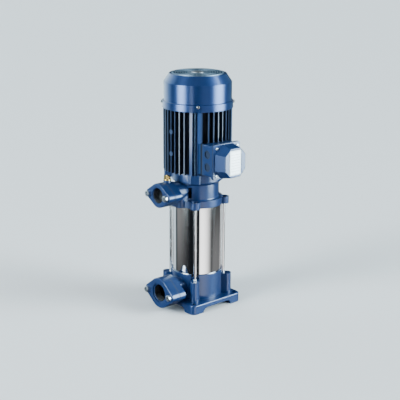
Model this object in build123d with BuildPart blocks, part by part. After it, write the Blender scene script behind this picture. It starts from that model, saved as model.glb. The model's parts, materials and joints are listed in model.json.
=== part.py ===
"""Vertical multistage pump: cast suction base and discharge head clamped over a stainless sleeve and five
stages by four tie rods, with a finned, fan-cooled motor on top.

Millimetres. +Z is up, the shaft runs on the Z axis and the base stands on z = 0. Both ports face -Y and the
terminal box faces +X.
"""

import os
from math import cos, radians, sin

from build123d import *

os.makedirs("parts", exist_ok=True)

# ---------------------------------------------------------------- driving dimensions
# Suction base
foot_pitch = 140.0  # between mounting holes, both ways
foot_hole_d = 12.0
foot_corner_r = 13.0
plate_thick = 25.0
plate_edge_r = 3.0
arch_span = 94.0
arch_rise = 12.5
arch_corner_r = 12.0
body_r = 66.0
post_width = 23.0
post_outer_r = 91.0
post_top_z = 80.0
rim_r = 67.5
rim_height = 7.0
seat_z = 86.0  # shoulder that carries the sleeve and the stage stack
chamber_r = 50.0
chamber_floor_z = 22.0

# Tie rods
rod_count = 4
rod_d = 8.0
rod_sleeve_gap = 1.5  # between a rod and the sleeve
rod_thread_depth = 28.0
rod_notch_r = 11.0

# Sleeve and stages
sleeve_or = 64.0
sleeve_wall = 1.5
sleeve_gap = 0.2  # radial clearance of the sleeve in its seat
stage_gap = 0.4  # radial clearance of the stages inside the sleeve
inlet_plate_thick = 6.0
stage_count = 5
stage_pitch = 34.0
spigot_depth = 11.0

# Suction port, thread G 1 1/2
suction_z = 50.0
suction_face = 130.0
suction_thread_r = 22.42
suction_mouth_r = 26.0  # recess in front of the thread
suction_mouth_depth = 3.6
suction_centre_r = 40.0
suction_ear_x = 44.0
suction_ear_r = 13.0
suction_counter_thick = 24.0
suction_flange_thick = 18.0
suction_tube_r = 31.0
suction_passage_r = 23.0

# Discharge port, thread G 1 1/4
discharge_rise = 39.5  # port axis above the sleeve's top
discharge_face = 132.0
discharge_thread_r = 19.48
discharge_mouth_r = 21.2
discharge_mouth_depth = 1.6
discharge_centre_r = 31.5
discharge_ear_x = 35.0
discharge_ear_r = 12.0
discharge_counter_thick = 19.0
discharge_flange_thick = 22.0
discharge_tube_r = 24.0  # at the neck; the tube widens to the flange
discharge_passage_r = 17.0
gasket_thick = 1.5

# Port bolts, M10 socket head
port_bolt_d = 10.0
port_bolt_head_d = 16.0
port_bolt_head_height = 8.0
port_bolt_grip = 14.0  # thread engaged in the casing's flange
port_bolt_socket_r = 4.6
port_bolt_socket_depth = 6.0
port_bolt_edge = 1.0
bolt_clearance = 0.5  # radial, in a plain hole
tip_clearance = 1.0  # between a bolt's tip and the bottom of its hole
flange_edge_r = 2.0

# Discharge head and lantern
head_flange_r = 66.0
head_flange_thick = 18.0
head_lug_r = 13.0
nut_pocket_r = 9.5
nut_pocket_depth = 11.0
neck_r = 56.3
neck_height = 40.0
neck_fillet = 3.0
lantern_r = 40.0
lantern_floor_thick = 6.0
lantern_floor_rise = 4.0  # top of the lantern's floor above the head's flange
head_chamber_r = 48.0
elbow_width = 46.0
elbow_reach = 76.0
elbow_wall = 5.0
window_angle = 29.8  # from the port's direction
window_width = 9.0
window_height = 28.0

# Priming and drain plugs, G 1/4
plug_thread_d = 13.0
plug_thread_length = 12.0
plug_across_flats = 15.0
plug_head_height = 8.0
plug_collar_thick = 3.0
plug_collar_width = 2.0
plug_boss_r = 10.0
plug_boss_height = 5.0
drain_z = 36.0
drain_boss_reach = 72.0

# Shaft line
pump_shaft_d = 16.0
coupling_r = 20.0
coupling_height = 30.0
coupling_split = 1.0
coupling_screw_d = 5.0
motor_shaft_d = 25.0
fit_gap = 0.03  # radial clearance of parts fitted on or in each other
running_gap = 0.05  # radial clearance of the shaft in its bush
shaft_gap = 1.0  # radial clearance of a shaft in a plain hole
bush_wall = 4.0
bush_height = 14.0

# Impellers and diffusers
impeller_r = 47.0
eye_r = 26.0
eye_gap = 0.6
eye_wall = 2.0
hub_r = 13.0
shroud_thick = 2.0
vane_height = 9.0
vane_thick = 2.2
vane_count = 6
bowl_wall = 3.5
return_vane_count = 6
web_thick = 2.5

# Motor
shield_height = 33.0
shield_foot_r = 58.0
shield_band_r = 67.0
shield_flare = 8.0  # height of the cone between them
shield_rim_r = 73.0
shield_rim_height = 3.0
shield_gap = 0.5  # round the shield where the discharge head makes room for it
drive_bearing_depth = 4.0  # below the frame's foot
shield_wall = 5.6
shield_floor = 7.0
shield_hub_r = 32.0
lug_width = 28.0
lug_reach = 86.0
lug_height = 22.0
frame_height = 166.0
frame_or = 73.0
frame_wall = 8.0
fin_tip_r = 88.0
fin_thick = 2.4
fin_pitch = 9.0  # degrees
fin_root = 0.2  # what clearing the fins leaves on the barrel
fins_per_side = 7
box_side_fins = 6
rib_thick = 7.0
rib_offset = 6.7  # degrees from a through bolt
box_rib_thick = 12.0  # ribs on the terminal box's side
box_rib_offset = 8.1
boss_r = 6.0
boss_rise = 79.0  # of the middle of the pair above the frame's foot
boss_spacing = 56.0
through_bolt_d = 5.0
through_bolt_gap = 0.25
through_bolt_across_flats = 8.0
through_bolt_head_height = 3.5
through_bolt_circle_r = 80.3
stator_height = 96.0
stator_bore_r = 37.0
air_gap = 0.5
slot_count = 24
slot_depth = 14.0
slot_width = 4.2
winding_height = 20.0
winding_gap = 0.3
end_ring_height = 10.0
rear_shield_height = 18.0
rear_shield_wall = 6.0
rear_lug_height = 12.0
fan_r = 76.0
fan_hub_r = 16.0
fan_hub_height = 20.0
fan_disc_r = 46.0
fan_disc_thick = 2.5
fan_blade_count = 8
fan_blade_thick = 2.4
fan_height = 24.0
fan_rise = 12.0  # fan above the rear shield
fan_bore_r = 9.0
spigot_height = 4.0

# Bearings: 6205 at the drive end, 6204 at the fan end
drive_bearing = {"bore": 25.0, "outer": 52.0, "width": 15.0, "balls": 9}
fan_bearing = {"bore": 20.0, "outer": 47.0, "width": 14.0, "balls": 8}
bearing_ring_thick = 3.6

# Fan cover and its grille
cover_lip_r = 90.0
cover_r = 86.6
cover_wall = 1.2
cover_lip_height = 18.0
cover_lip_drop = 4.0  # how far the lip hangs below the frame's top
cover_side_height = 46.5
cover_shoulder_r = 72.5
cover_shoulder_height = 21.0
cover_screw_d = 4.0
cover_screw_head_r = 3.8
cover_screw_head_height = 3.5
cover_screw_rise = 13.0  # above the lip
cover_screw_angle = 5.0  # degrees past a through bolt
cover_screw_bite = 9.0  # depth of its hole in the rear shield
cover_hole_gap = 0.2
grille_r = 66.0
grille_thick = 1.5
grille_overlap = 4.0  # seat of the grille on the cover
grille_centre_r = 26.0
grille_ring_count = 6
grille_ring_pitch = 6.2
grille_slot_width = 3.6
grille_bridge_count = 8
grille_bridge_width = 3.0

# Terminal box
box_y = -6.5
box_z = 406.5
pad_x = 77.0
pad_margin = 1.0  # how much smaller the frame's pad is than the box, all round
box_flange_x = 115.0
box_half_y = 42.0
box_half_z = 40.0
box_flange_half_y = 44.0
box_flange_half_z = 44.0
box_flange_thick = 5.0
box_wall = 3.5
box_corner_r = 5.0
box_fin_gap = 8.0  # between the box's sides and the fins
box_cover_flange_thick = 4.0
box_cover_depth = 36.0
box_cover_half_y = 40.6
box_cover_half_z = 43.6
box_cover_chamfer = 22.0
box_cover_taper = 11.1  # degrees
box_cover_edge_r = 1.5
box_screw_d = 5.0
box_screw_head_r = 3.6
box_screw_grip = 9.0
box_screw_head_height = 2.8
box_screw_y = 34.0
box_screw_z = 34.5
entry_x = 93.0
entry_spread = 32.0
entry_r = 11.0
entry_rim = 2.0
entry_recess = 2.5
cable_hole_r = 9.5
board_width = 50.0
board_height = 34.0
board_thick = 8.0
terminal_stud_r = 2.0
terminal_stud_length = 12.0
terminal_stud_pitch_y = 17.0
terminal_stud_pitch_z = 24.0
plate_width = 36.5
plate_height = 61.5
plate_margin = 1.5  # recess round the plate
plate_recess = 1.0
plate_corner_r = 2.0
rating_plate_thick = 0.6

# ---------------------------------------------------------------- levels and radii that follow
plate_side = foot_pitch + 2 * foot_corner_r
sleeve_ir = sleeve_or - sleeve_wall
rod_circle_r = sleeve_or + rod_sleeve_gap + rod_d / 2
seat_r = sleeve_or + sleeve_gap
stage_or = sleeve_ir - stage_gap
stack_z = seat_z + inlet_plate_thick
stack_top_z = stack_z + stage_count * stage_pitch
sleeve_top_z = stack_top_z + spigot_depth
rim_z = seat_z + rim_height
discharge_z = sleeve_top_z + discharge_rise
head_flange_z = sleeve_top_z + head_flange_thick
lantern_z = head_flange_z + lantern_floor_rise
head_ceiling_z = lantern_z - lantern_floor_thick
nut_seat_z = head_flange_z - nut_pocket_depth
neck_top_z = head_flange_z + neck_height
frame_z = neck_top_z + shield_height
frame_top_z = frame_z + frame_height
rear_shield_top_z = frame_top_z + rear_shield_height
rear_lug_top_z = frame_top_z + rear_lug_height
frame_ir = frame_or - frame_wall
stator_z = frame_z + (frame_height - stator_height) / 2
stator_top_z = stator_z + stator_height
cover_lip_z = frame_top_z - cover_lip_drop
cover_side_z = cover_lip_z + cover_lip_height
cover_shoulder_z = cover_side_z + cover_side_height
cover_top_z = cover_shoulder_z + cover_shoulder_height
fan_z = rear_shield_top_z + fan_rise
shaft_r = pump_shaft_d / 2
motor_shaft_r = motor_shaft_d / 2
plug_boss_z = discharge_z + discharge_centre_r + plug_boss_height


def facing_front(y, z):
    """Sketch plane that looks along -Y, with its x along +X and its y along +Z."""
    return Plane(origin=(0, y, z), x_dir=(1, 0, 0), z_dir=(0, -1, 0))


def facing_back(y, z):
    """Sketch plane that looks along +Y, with its y along +Z."""
    return Plane(origin=(0, y, z), x_dir=(-1, 0, 0), z_dir=(0, 1, 0))


def facing_right(x, z):
    """Sketch plane that looks along +X, with its x along +Y and its y along +Z."""
    return Plane(origin=(x, 0, z), x_dir=(0, 1, 0), z_dir=(1, 0, 0))


def oval(centre_r, ear_x, ear_r):
    """Outline of an oval two-bolt flange, drawn into the sketch that calls it."""
    Circle(centre_r)
    with Locations((ear_x, 0), (-ear_x, 0)):
        Circle(ear_r)
    make_hull()


def save(part, name):
    part.label = name
    export_step(part, f"parts/{name}.step")


# ---------------------------------------------------------------- suction base
suction_joint = suction_face - suction_counter_thick - gasket_thick
post_length = post_outer_r - chamber_r
plate_overlap = 5.0  # barrel and posts start inside the plate
drain_boss_start = chamber_r + 3.0

with BuildPart() as base_casing:
    with BuildSketch():
        RectangleRounded(plate_side, plate_side, foot_corner_r)
    extrude(amount=plate_thick)
    fillet(base_casing.edges().group_by(Axis.Z)[-1], radius=plate_edge_r)
    for across in (Plane.XZ, Plane.YZ):
        with BuildSketch(across) as arch:
            Rectangle(arch_span, 2 * arch_rise)
            fillet(arch.vertices(), radius=arch_corner_r)
        extrude(amount=plate_side / 2 + 1, both=True, mode=Mode.SUBTRACT)
    # Barrel, corner posts for the tie rods, and the rim round the sleeve
    with BuildSketch(Plane.XY.offset(plate_thick - plate_overlap)):
        Circle(body_r)
    extrude(amount=rim_z - plate_thick + plate_overlap)
    with BuildSketch(Plane.XY.offset(plate_thick - plate_overlap)):
        with PolarLocations(post_outer_r - post_length / 2, rod_count, start_angle=45):
            SlotOverall(post_length, post_width)
    extrude(amount=post_top_z - plate_thick + plate_overlap)
    with BuildSketch(Plane.XY.offset(post_top_z)):
        Circle(rim_r)
        with PolarLocations(rod_circle_r, rod_count, start_angle=45):
            Circle(rod_notch_r, mode=Mode.SUBTRACT)
    extrude(amount=rim_z - post_top_z)
    # Port tube and its oval flange
    with BuildSketch(facing_front(-chamber_r, suction_z)):
        Circle(suction_tube_r)
    extrude(amount=suction_joint - chamber_r)
    with BuildSketch(facing_front(-suction_joint + suction_flange_thick, suction_z)):
        oval(suction_centre_r, suction_ear_x, suction_ear_r)
    extrude(amount=suction_flange_thick)
    # Drain boss at the back
    with BuildSketch(facing_back(drain_boss_start, drain_z)):
        Circle(plug_thread_d)
    extrude(amount=drain_boss_reach - drain_boss_start)
    # Hollow: suction chamber, seat for the sleeve, port passage and drain hole
    with BuildSketch(Plane.XY.offset(chamber_floor_z)):
        Circle(chamber_r)
    extrude(amount=rim_z, mode=Mode.SUBTRACT)
    with BuildSketch(Plane.XY.offset(seat_z)):
        Circle(seat_r)
    extrude(amount=rim_height, mode=Mode.SUBTRACT)
    with BuildSketch(Plane.XY.offset(post_top_z)):
        with PolarLocations(rod_circle_r, rod_count, start_angle=45):
            Circle(rod_notch_r)
        Circle(seat_r, mode=Mode.SUBTRACT)
    extrude(amount=rim_z - post_top_z, mode=Mode.SUBTRACT)
    with BuildSketch(facing_front(-suction_joint, suction_z)):
        Circle(suction_passage_r)
    extrude(amount=-suction_joint, mode=Mode.SUBTRACT)
    with BuildSketch(facing_back(0, drain_z)):
        Circle(plug_thread_d / 2 + running_gap)
    extrude(amount=drain_boss_reach, mode=Mode.SUBTRACT)
    # Mounting holes, rod threads and port bolt threads
    with BuildSketch():
        with GridLocations(foot_pitch, foot_pitch, 2, 2):
            Circle(foot_hole_d / 2)
    extrude(amount=plate_thick, mode=Mode.SUBTRACT)
    with BuildSketch(Plane.XY.offset(post_top_z - rod_thread_depth)):
        with PolarLocations(rod_circle_r, rod_count, start_angle=45):
            Circle(rod_d / 2 + running_gap)
    extrude(amount=rod_thread_depth, mode=Mode.SUBTRACT)
    with BuildSketch(facing_front(-suction_joint, suction_z)):
        with Locations((suction_ear_x, 0), (-suction_ear_x, 0)):
            Circle(port_bolt_d / 2 + running_gap)
    extrude(amount=-port_bolt_grip, mode=Mode.SUBTRACT)
save(base_casing.part, "base_casing")


# ---------------------------------------------------------------- port counterflanges, gaskets and bolts
def counterflange(face, z, thick, centre_r, ear_x, ear_r, thread_r, mouth_r, mouth_depth):
    """Oval flange with a female pipe thread, drawn as its minor diameter behind a wider mouth."""
    with BuildPart() as piece:
        with BuildSketch(facing_front(-(face - thick), z)):
            oval(centre_r, ear_x, ear_r)
        extrude(amount=thick)
        fillet(piece.faces().sort_by(Axis.Y)[0].edges(), radius=flange_edge_r)
        with BuildSketch(facing_front(-(face - thick), z)):
            Circle(thread_r)
            with Locations((ear_x, 0), (-ear_x, 0)):
                Circle(port_bolt_d / 2 + bolt_clearance)
        extrude(amount=thick, mode=Mode.SUBTRACT)
        with BuildSketch(facing_front(-face, z)):
            Circle(mouth_r)
        extrude(amount=-mouth_depth, mode=Mode.SUBTRACT)
    return piece.part


def flange_gasket(joint, z, centre_r, ear_x, ear_r, passage_r):
    with BuildPart() as piece:
        with BuildSketch(facing_front(-joint, z)):
            oval(centre_r, ear_x, ear_r)
            Circle(passage_r, mode=Mode.SUBTRACT)
            with Locations((ear_x, 0), (-ear_x, 0)):
                Circle(port_bolt_d / 2 + bolt_clearance, mode=Mode.SUBTRACT)
        extrude(amount=gasket_thick)
    return piece.part


def port_bolts(face, z, ear_x, shank_length):
    """Pair of socket head screws that clamp a counterflange."""
    with BuildPart() as piece:
        with BuildSketch(facing_front(-face, z)):
            with Locations((ear_x, 0), (-ear_x, 0)):
                Circle(port_bolt_head_d / 2)
        extrude(amount=port_bolt_head_height)
        chamfer(piece.faces().sort_by(Axis.Y)[0:2].edges(), length=port_bolt_edge)
        with BuildSketch(facing_front(-face, z)):
            with Locations((ear_x, 0), (-ear_x, 0)):
                Circle(port_bolt_d / 2)
        extrude(amount=-shank_length)
        with BuildSketch(facing_front(-face - port_bolt_head_height, z)):
            with Locations((ear_x, 0), (-ear_x, 0)):
                RegularPolygon(port_bolt_socket_r, 6)
        extrude(amount=-port_bolt_socket_depth, mode=Mode.SUBTRACT)
    return piece.part


discharge_joint = discharge_face - discharge_counter_thick - gasket_thick
save(
    counterflange(
        suction_face, suction_z, suction_counter_thick,
        suction_centre_r, suction_ear_x, suction_ear_r, suction_thread_r,
        suction_mouth_r, suction_mouth_depth,
    ),
    "suction_counterflange",
)
save(
    flange_gasket(
        suction_joint, suction_z, suction_centre_r, suction_ear_x, suction_ear_r, suction_passage_r
    ),
    "suction_gasket",
)
save(
    port_bolts(
        suction_face, suction_z, suction_ear_x,
        suction_counter_thick + gasket_thick + port_bolt_grip - tip_clearance,
    ),
    "suction_flange_bolts",
)
save(
    counterflange(
        discharge_face, discharge_z, discharge_counter_thick,
        discharge_centre_r, discharge_ear_x, discharge_ear_r, discharge_thread_r,
        discharge_mouth_r, discharge_mouth_depth,
    ),
    "discharge_counterflange",
)
save(
    flange_gasket(
        discharge_joint, discharge_z, discharge_centre_r, discharge_ear_x, discharge_ear_r,
        discharge_passage_r,
    ),
    "discharge_gasket",
)
save(
    port_bolts(
        discharge_face, discharge_z, discharge_ear_x,
        discharge_counter_thick + gasket_thick + port_bolt_grip - tip_clearance,
    ),
    "discharge_flange_bolts",
)

# ---------------------------------------------------------------- sleeve and its seals
with BuildPart() as outer_sleeve:
    with BuildSketch(Plane.XY.offset(seat_z)):
        Circle(sleeve_or)
        Circle(sleeve_ir, mode=Mode.SUBTRACT)
    extrude(amount=sleeve_top_z - seat_z)
save(outer_sleeve.part, "outer_sleeve")

o_ring_r = 1.3
o_ring_groove_r = sleeve_ir - 2.8
o_ring_side_gap = 0.1
o_ring_track_r = sleeve_ir - o_ring_r - running_gap
lower_o_ring_z = seat_z + inlet_plate_thick / 2
upper_o_ring_z = sleeve_top_z - spigot_depth / 2

with BuildPart() as sleeve_o_rings:
    with BuildSketch(Plane.XZ):
        with Locations((o_ring_track_r, lower_o_ring_z), (o_ring_track_r, upper_o_ring_z)):
            Circle(o_ring_r)
    revolve(axis=Axis.Z)
save(sleeve_o_rings.part, "sleeve_o_rings")


def o_ring_groove(z):
    """Square groove for a sleeve O-ring, to be cut from a part."""
    with BuildPart() as groove:
        with BuildSketch(Plane.XY.offset(z - o_ring_r - o_ring_side_gap)):
            Circle(sleeve_ir)
            Circle(o_ring_groove_r, mode=Mode.SUBTRACT)
        extrude(amount=2 * (o_ring_r + o_ring_side_gap))
    return groove.part


# ---------------------------------------------------------------- inlet plate with the bottom bearing
bush_or = shaft_r + running_gap + bush_wall
bearing_hub_r = bush_or + 4.0
bearing_hub_z = seat_z - 16.0
bush_z = bearing_hub_z + 1.0
spider_arm_reach = chamber_r - 2.0
spider_arm_width = 5.0

with BuildPart() as inlet_spider:
    with BuildSketch(Plane.XY.offset(seat_z)):
        Circle(stage_or)
        Circle(eye_r + eye_gap, mode=Mode.SUBTRACT)
    extrude(amount=inlet_plate_thick)
    with BuildSketch(Plane.XY.offset(bearing_hub_z)):
        Circle(bearing_hub_r)
        with PolarLocations(spider_arm_reach / 2, 3, start_angle=90):
            Rectangle(spider_arm_reach, spider_arm_width)
    extrude(amount=seat_z - bearing_hub_z)
    with BuildSketch(Plane.XY.offset(bearing_hub_z)):
        Circle(bush_or + fit_gap)
    extrude(amount=stage_pitch, mode=Mode.SUBTRACT)
    add(o_ring_groove(lower_o_ring_z), mode=Mode.SUBTRACT)
save(inlet_spider.part, "inlet_spider")

with BuildPart() as lower_bush:
    with BuildSketch(Plane.XY.offset(bush_z)):
        Circle(bush_or)
        Circle(shaft_r + running_gap, mode=Mode.SUBTRACT)
    extrude(amount=bush_height)
save(lower_bush.part, "lower_bush")

# ---------------------------------------------------------------- stages
eye_plate_thick = 3.0
shroud_low_z = 3.5  # levels of one stage, above its bottom
vane_low_z = shroud_low_z + shroud_thick
vane_top_z = vane_low_z + vane_height
hub_low_z = 1.0
hub_top_z = vane_top_z + shroud_thick + 3.0
web_low_z = vane_top_z + shroud_thick + 1.5
return_low_z = web_low_z + web_thick
return_top_z = stage_pitch - eye_plate_thick
web_r = impeller_r + 3.0
bowl_ir = stage_or - bowl_wall
overlap = 0.5  # how far a fused piece reaches into the one that carries it
impeller_vane_sweep = 55.0  # degrees
return_vane_sweep = -40.0
guide_vane_sweep = 14.0
vane_nose = 8.0  # how far an impeller's vanes reach into its eye
vane_end_gap = 1.0
vane_bow = 0.38  # share of the sweep reached half-way out


def vane_arc(inner_r, outer_r, sweep, thick):
    """Curved vane from inner_r to outer_r that trails by sweep degrees, drawn as a trace of its mean line."""
    start = Vector(inner_r, 0)
    end = Vector(outer_r * cos(radians(sweep)), outer_r * sin(radians(sweep)))
    middle_r = (inner_r + outer_r) / 2
    lead = sweep * vane_bow
    middle = Vector(middle_r * cos(radians(lead)), middle_r * sin(radians(lead)))
    with BuildSketch(mode=Mode.PRIVATE) as vane:
        with BuildLine():
            ThreePointArc(start, middle, end)
        trace(line_width=thick)
    return vane.sketch


impeller_vane = vane_arc(eye_r - vane_nose, impeller_r - vane_end_gap, impeller_vane_sweep, vane_thick)
return_vane = vane_arc(eye_r + 2 * vane_end_gap, web_r - overlap, return_vane_sweep, vane_thick)
guide_vane = vane_arc(impeller_r, bowl_ir + overlap, guide_vane_sweep, vane_thick)

for stage in range(stage_count):
    z = stack_z + stage * stage_pitch

    with BuildPart() as diffuser:
        # Outer wall with the next stage's eye plate at its top
        with BuildSketch(Plane.XY.offset(z)):
            Circle(stage_or)
            Circle(bowl_ir, mode=Mode.SUBTRACT)
        extrude(amount=stage_pitch)
        with BuildSketch(Plane.XY.offset(z + return_top_z)):
            Circle(bowl_ir + overlap)
            Circle(eye_r + eye_gap, mode=Mode.SUBTRACT)
        extrude(amount=eye_plate_thick)
        # Web over the impeller, return vanes above it and guide vanes beside it
        with BuildSketch(Plane.XY.offset(z + web_low_z)):
            Circle(web_r)
            Circle(hub_r + eye_gap + shaft_gap, mode=Mode.SUBTRACT)
        extrude(amount=web_thick)
        with BuildSketch(Plane.XY.offset(z + return_low_z - overlap)):
            with PolarLocations(0, return_vane_count):
                add(return_vane)
        extrude(amount=return_top_z - return_low_z + 2 * overlap)
        with BuildSketch(Plane.XY.offset(z + web_low_z)):
            with PolarLocations(0, return_vane_count):
                add(guide_vane)
        extrude(amount=web_thick)
    save(diffuser.part, f"diffuser_{stage + 1}")

    with BuildPart() as impeller:
        with BuildSketch(Plane.XY.offset(z + shroud_low_z)):
            Circle(impeller_r)
            Circle(eye_r - eye_wall, mode=Mode.SUBTRACT)
        extrude(amount=shroud_thick)
        with BuildSketch(Plane.XY.offset(z - eye_plate_thick)):
            Circle(eye_r)
            Circle(eye_r - eye_wall, mode=Mode.SUBTRACT)
        extrude(amount=shroud_low_z + eye_plate_thick)
        with BuildSketch(Plane.XY.offset(z + vane_low_z)):
            with PolarLocations(0, vane_count):
                add(impeller_vane)
        extrude(amount=vane_height)
        with BuildSketch(Plane.XY.offset(z + vane_top_z)):
            Circle(impeller_r)
        extrude(amount=shroud_thick)
        with BuildSketch(Plane.XY.offset(z + hub_low_z)):
            Circle(hub_r)
        extrude(amount=hub_top_z - hub_low_z)
        with BuildSketch(Plane.XY.offset(z)):
            Circle(shaft_r + fit_gap)
        extrude(amount=stage_pitch, mode=Mode.SUBTRACT)
    save(impeller.part, f"impeller_{stage + 1}")

# ---------------------------------------------------------------- pump shaft and what turns with it
seal_z = stack_top_z + 2.0
seal_ring_height = 6.0
seal_seat_height = 6.0
seal_seat_r = 15.0
seal_face_gap = 0.05
seal_boss_height = 8.0
seal_seat_z = head_ceiling_z - seal_boss_height
shaft_low_z = bearing_hub_z - 4.0
coupling_z = lantern_z + 2.0
shaft_end_gap = 1.0  # between the two shafts in the coupling
shaft_edge = 1.0
spacer_r = hub_r - 1.5
impeller_nut_r = 13.0
seal_face_r = seal_seat_r - 1.0
seal_carrier_thick = 2.0
coupling_mid_z = coupling_z + coupling_height / 2

with BuildPart() as pump_shaft:
    with BuildSketch(Plane.XY.offset(shaft_low_z)):
        Circle(shaft_r)
    extrude(amount=coupling_mid_z - shaft_end_gap / 2 - shaft_low_z)
    chamfer(pump_shaft.faces().sort_by(Axis.Z)[0].edges(), length=shaft_edge)
save(pump_shaft.part, "pump_shaft")

with BuildPart() as impeller_spacers:
    for stage in range(stage_count):
        low = stack_z + stage * stage_pitch + hub_top_z
        high = low + stage_pitch - hub_top_z + hub_low_z
        if stage == stage_count - 1:
            high = seal_z
        with BuildSketch(Plane.XY.offset(low)):
            Circle(spacer_r)
            Circle(shaft_r + fit_gap, mode=Mode.SUBTRACT)
        extrude(amount=high - low)
save(impeller_spacers.part, "impeller_spacers")

with BuildPart() as impeller_nut:
    with BuildSketch(Plane.XY.offset(seat_z)):
        RegularPolygon(impeller_nut_r, 6)
        Circle(shaft_r + fit_gap, mode=Mode.SUBTRACT)
    extrude(amount=stack_z + hub_low_z - seat_z)
save(impeller_nut.part, "impeller_nut")

# Mechanical seal: spring and carrier, face ring, and the fixed seat in the head
seal_coil_r = 11.0
seal_wire_r = 0.8
seal_coil_turns = 3
coil_seat = 0.9  # lowest coil bites a little into the carrier
seal_ring_z = seal_seat_z - seal_face_gap - seal_ring_height

with BuildPart() as seal_spring:
    with BuildSketch(Plane.XY.offset(seal_z)):
        Circle(seal_face_r)
        Circle(shaft_r + fit_gap, mode=Mode.SUBTRACT)
    extrude(amount=seal_carrier_thick)
    coil_low = seal_z + seal_carrier_thick + seal_wire_r * coil_seat
    coil_high = seal_ring_z - seal_wire_r - fit_gap
    coil_height = coil_high - coil_low
    with BuildLine(Plane.XY.offset(coil_low)):
        coil = Helix(pitch=coil_height / seal_coil_turns, height=coil_height, radius=seal_coil_r)
    with BuildSketch(Plane(origin=coil @ 0, z_dir=coil % 0)):
        Circle(seal_wire_r)
    sweep(path=coil)
save(seal_spring.part, "seal_spring")

with BuildPart() as seal_face_ring:
    with BuildSketch(Plane.XY.offset(seal_ring_z)):
        Circle(seal_face_r)
        Circle(shaft_r + fit_gap, mode=Mode.SUBTRACT)
    extrude(amount=seal_ring_height)
save(seal_face_ring.part, "seal_face_ring")

with BuildPart() as seal_seat:
    with BuildSketch(Plane.XY.offset(seal_seat_z)):
        Circle(seal_seat_r)
        Circle(shaft_r + shaft_gap, mode=Mode.SUBTRACT)
    extrude(amount=seal_seat_height)
save(seal_seat.part, "seal_seat")

# ---------------------------------------------------------------- coupling
coupling_screw_z = [coupling_z + coupling_height * share for share in (0.25, 0.75)]
coupling_screw_x = 15.5
coupling_screw_length = 18.0

with BuildPart() as coupling_halves:
    with BuildSketch(Plane.XY.offset(coupling_z)):
        Circle(coupling_r)
        Circle(shaft_r + fit_gap, mode=Mode.SUBTRACT)
        Rectangle(3 * coupling_r, coupling_split, mode=Mode.SUBTRACT)
    extrude(amount=coupling_height)
    with BuildSketch(Plane.XY.offset(coupling_mid_z)):
        Circle(motor_shaft_r + fit_gap)
    extrude(amount=coupling_height, mode=Mode.SUBTRACT)
    for screw_z in coupling_screw_z:
        with BuildSketch(facing_back(-coupling_r, screw_z)):
            with Locations((coupling_screw_x, 0), (-coupling_screw_x, 0)):
                Circle(coupling_screw_d / 2)
        extrude(amount=2 * coupling_r, mode=Mode.SUBTRACT)
save(coupling_halves.part, "coupling_halves")

with BuildPart() as coupling_screws:
    for screw_z in coupling_screw_z:
        with BuildSketch(facing_back(-coupling_screw_length / 2, screw_z)):
            with Locations((coupling_screw_x, 0), (-coupling_screw_x, 0)):
                Circle(coupling_screw_d / 2 - fit_gap)
        extrude(amount=coupling_screw_length)
save(coupling_screws.part, "coupling_screws")

# ---------------------------------------------------------------- discharge head with the lantern
def drive_shield_form(gap):
    """Solid outline of the motor's drive end shield, grown by gap, below the frame."""
    with BuildPart() as form:
        with BuildSketch(Plane.XZ):
            with BuildLine():
                Polyline(
                    (0, neck_top_z),
                    (shield_foot_r + gap, neck_top_z),
                    (shield_band_r + gap, neck_top_z + shield_flare),
                    (shield_band_r + gap, frame_z),
                    (0, frame_z),
                    close=True,
                )
            make_face()
        revolve(axis=Axis.Z)
    return form.part


tube_start_y = 50.0
tube_shoulder = 2.0
window_lip = 1.0
seal_boss_r = seal_seat_r + 5.0
window_mid_z = head_flange_z + neck_height / 2
motor_screw_r = 48.0
motor_screw_d = 6.0
motor_screw_depth = 14.0
motor_screw_head_r = 5.0
motor_screw_socket_r = 2.9
plug_y = discharge_joint - discharge_flange_thick / 2
elbow_channel_low_z = sleeve_top_z + elbow_wall
port_channel_y = lantern_r + elbow_wall

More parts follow.
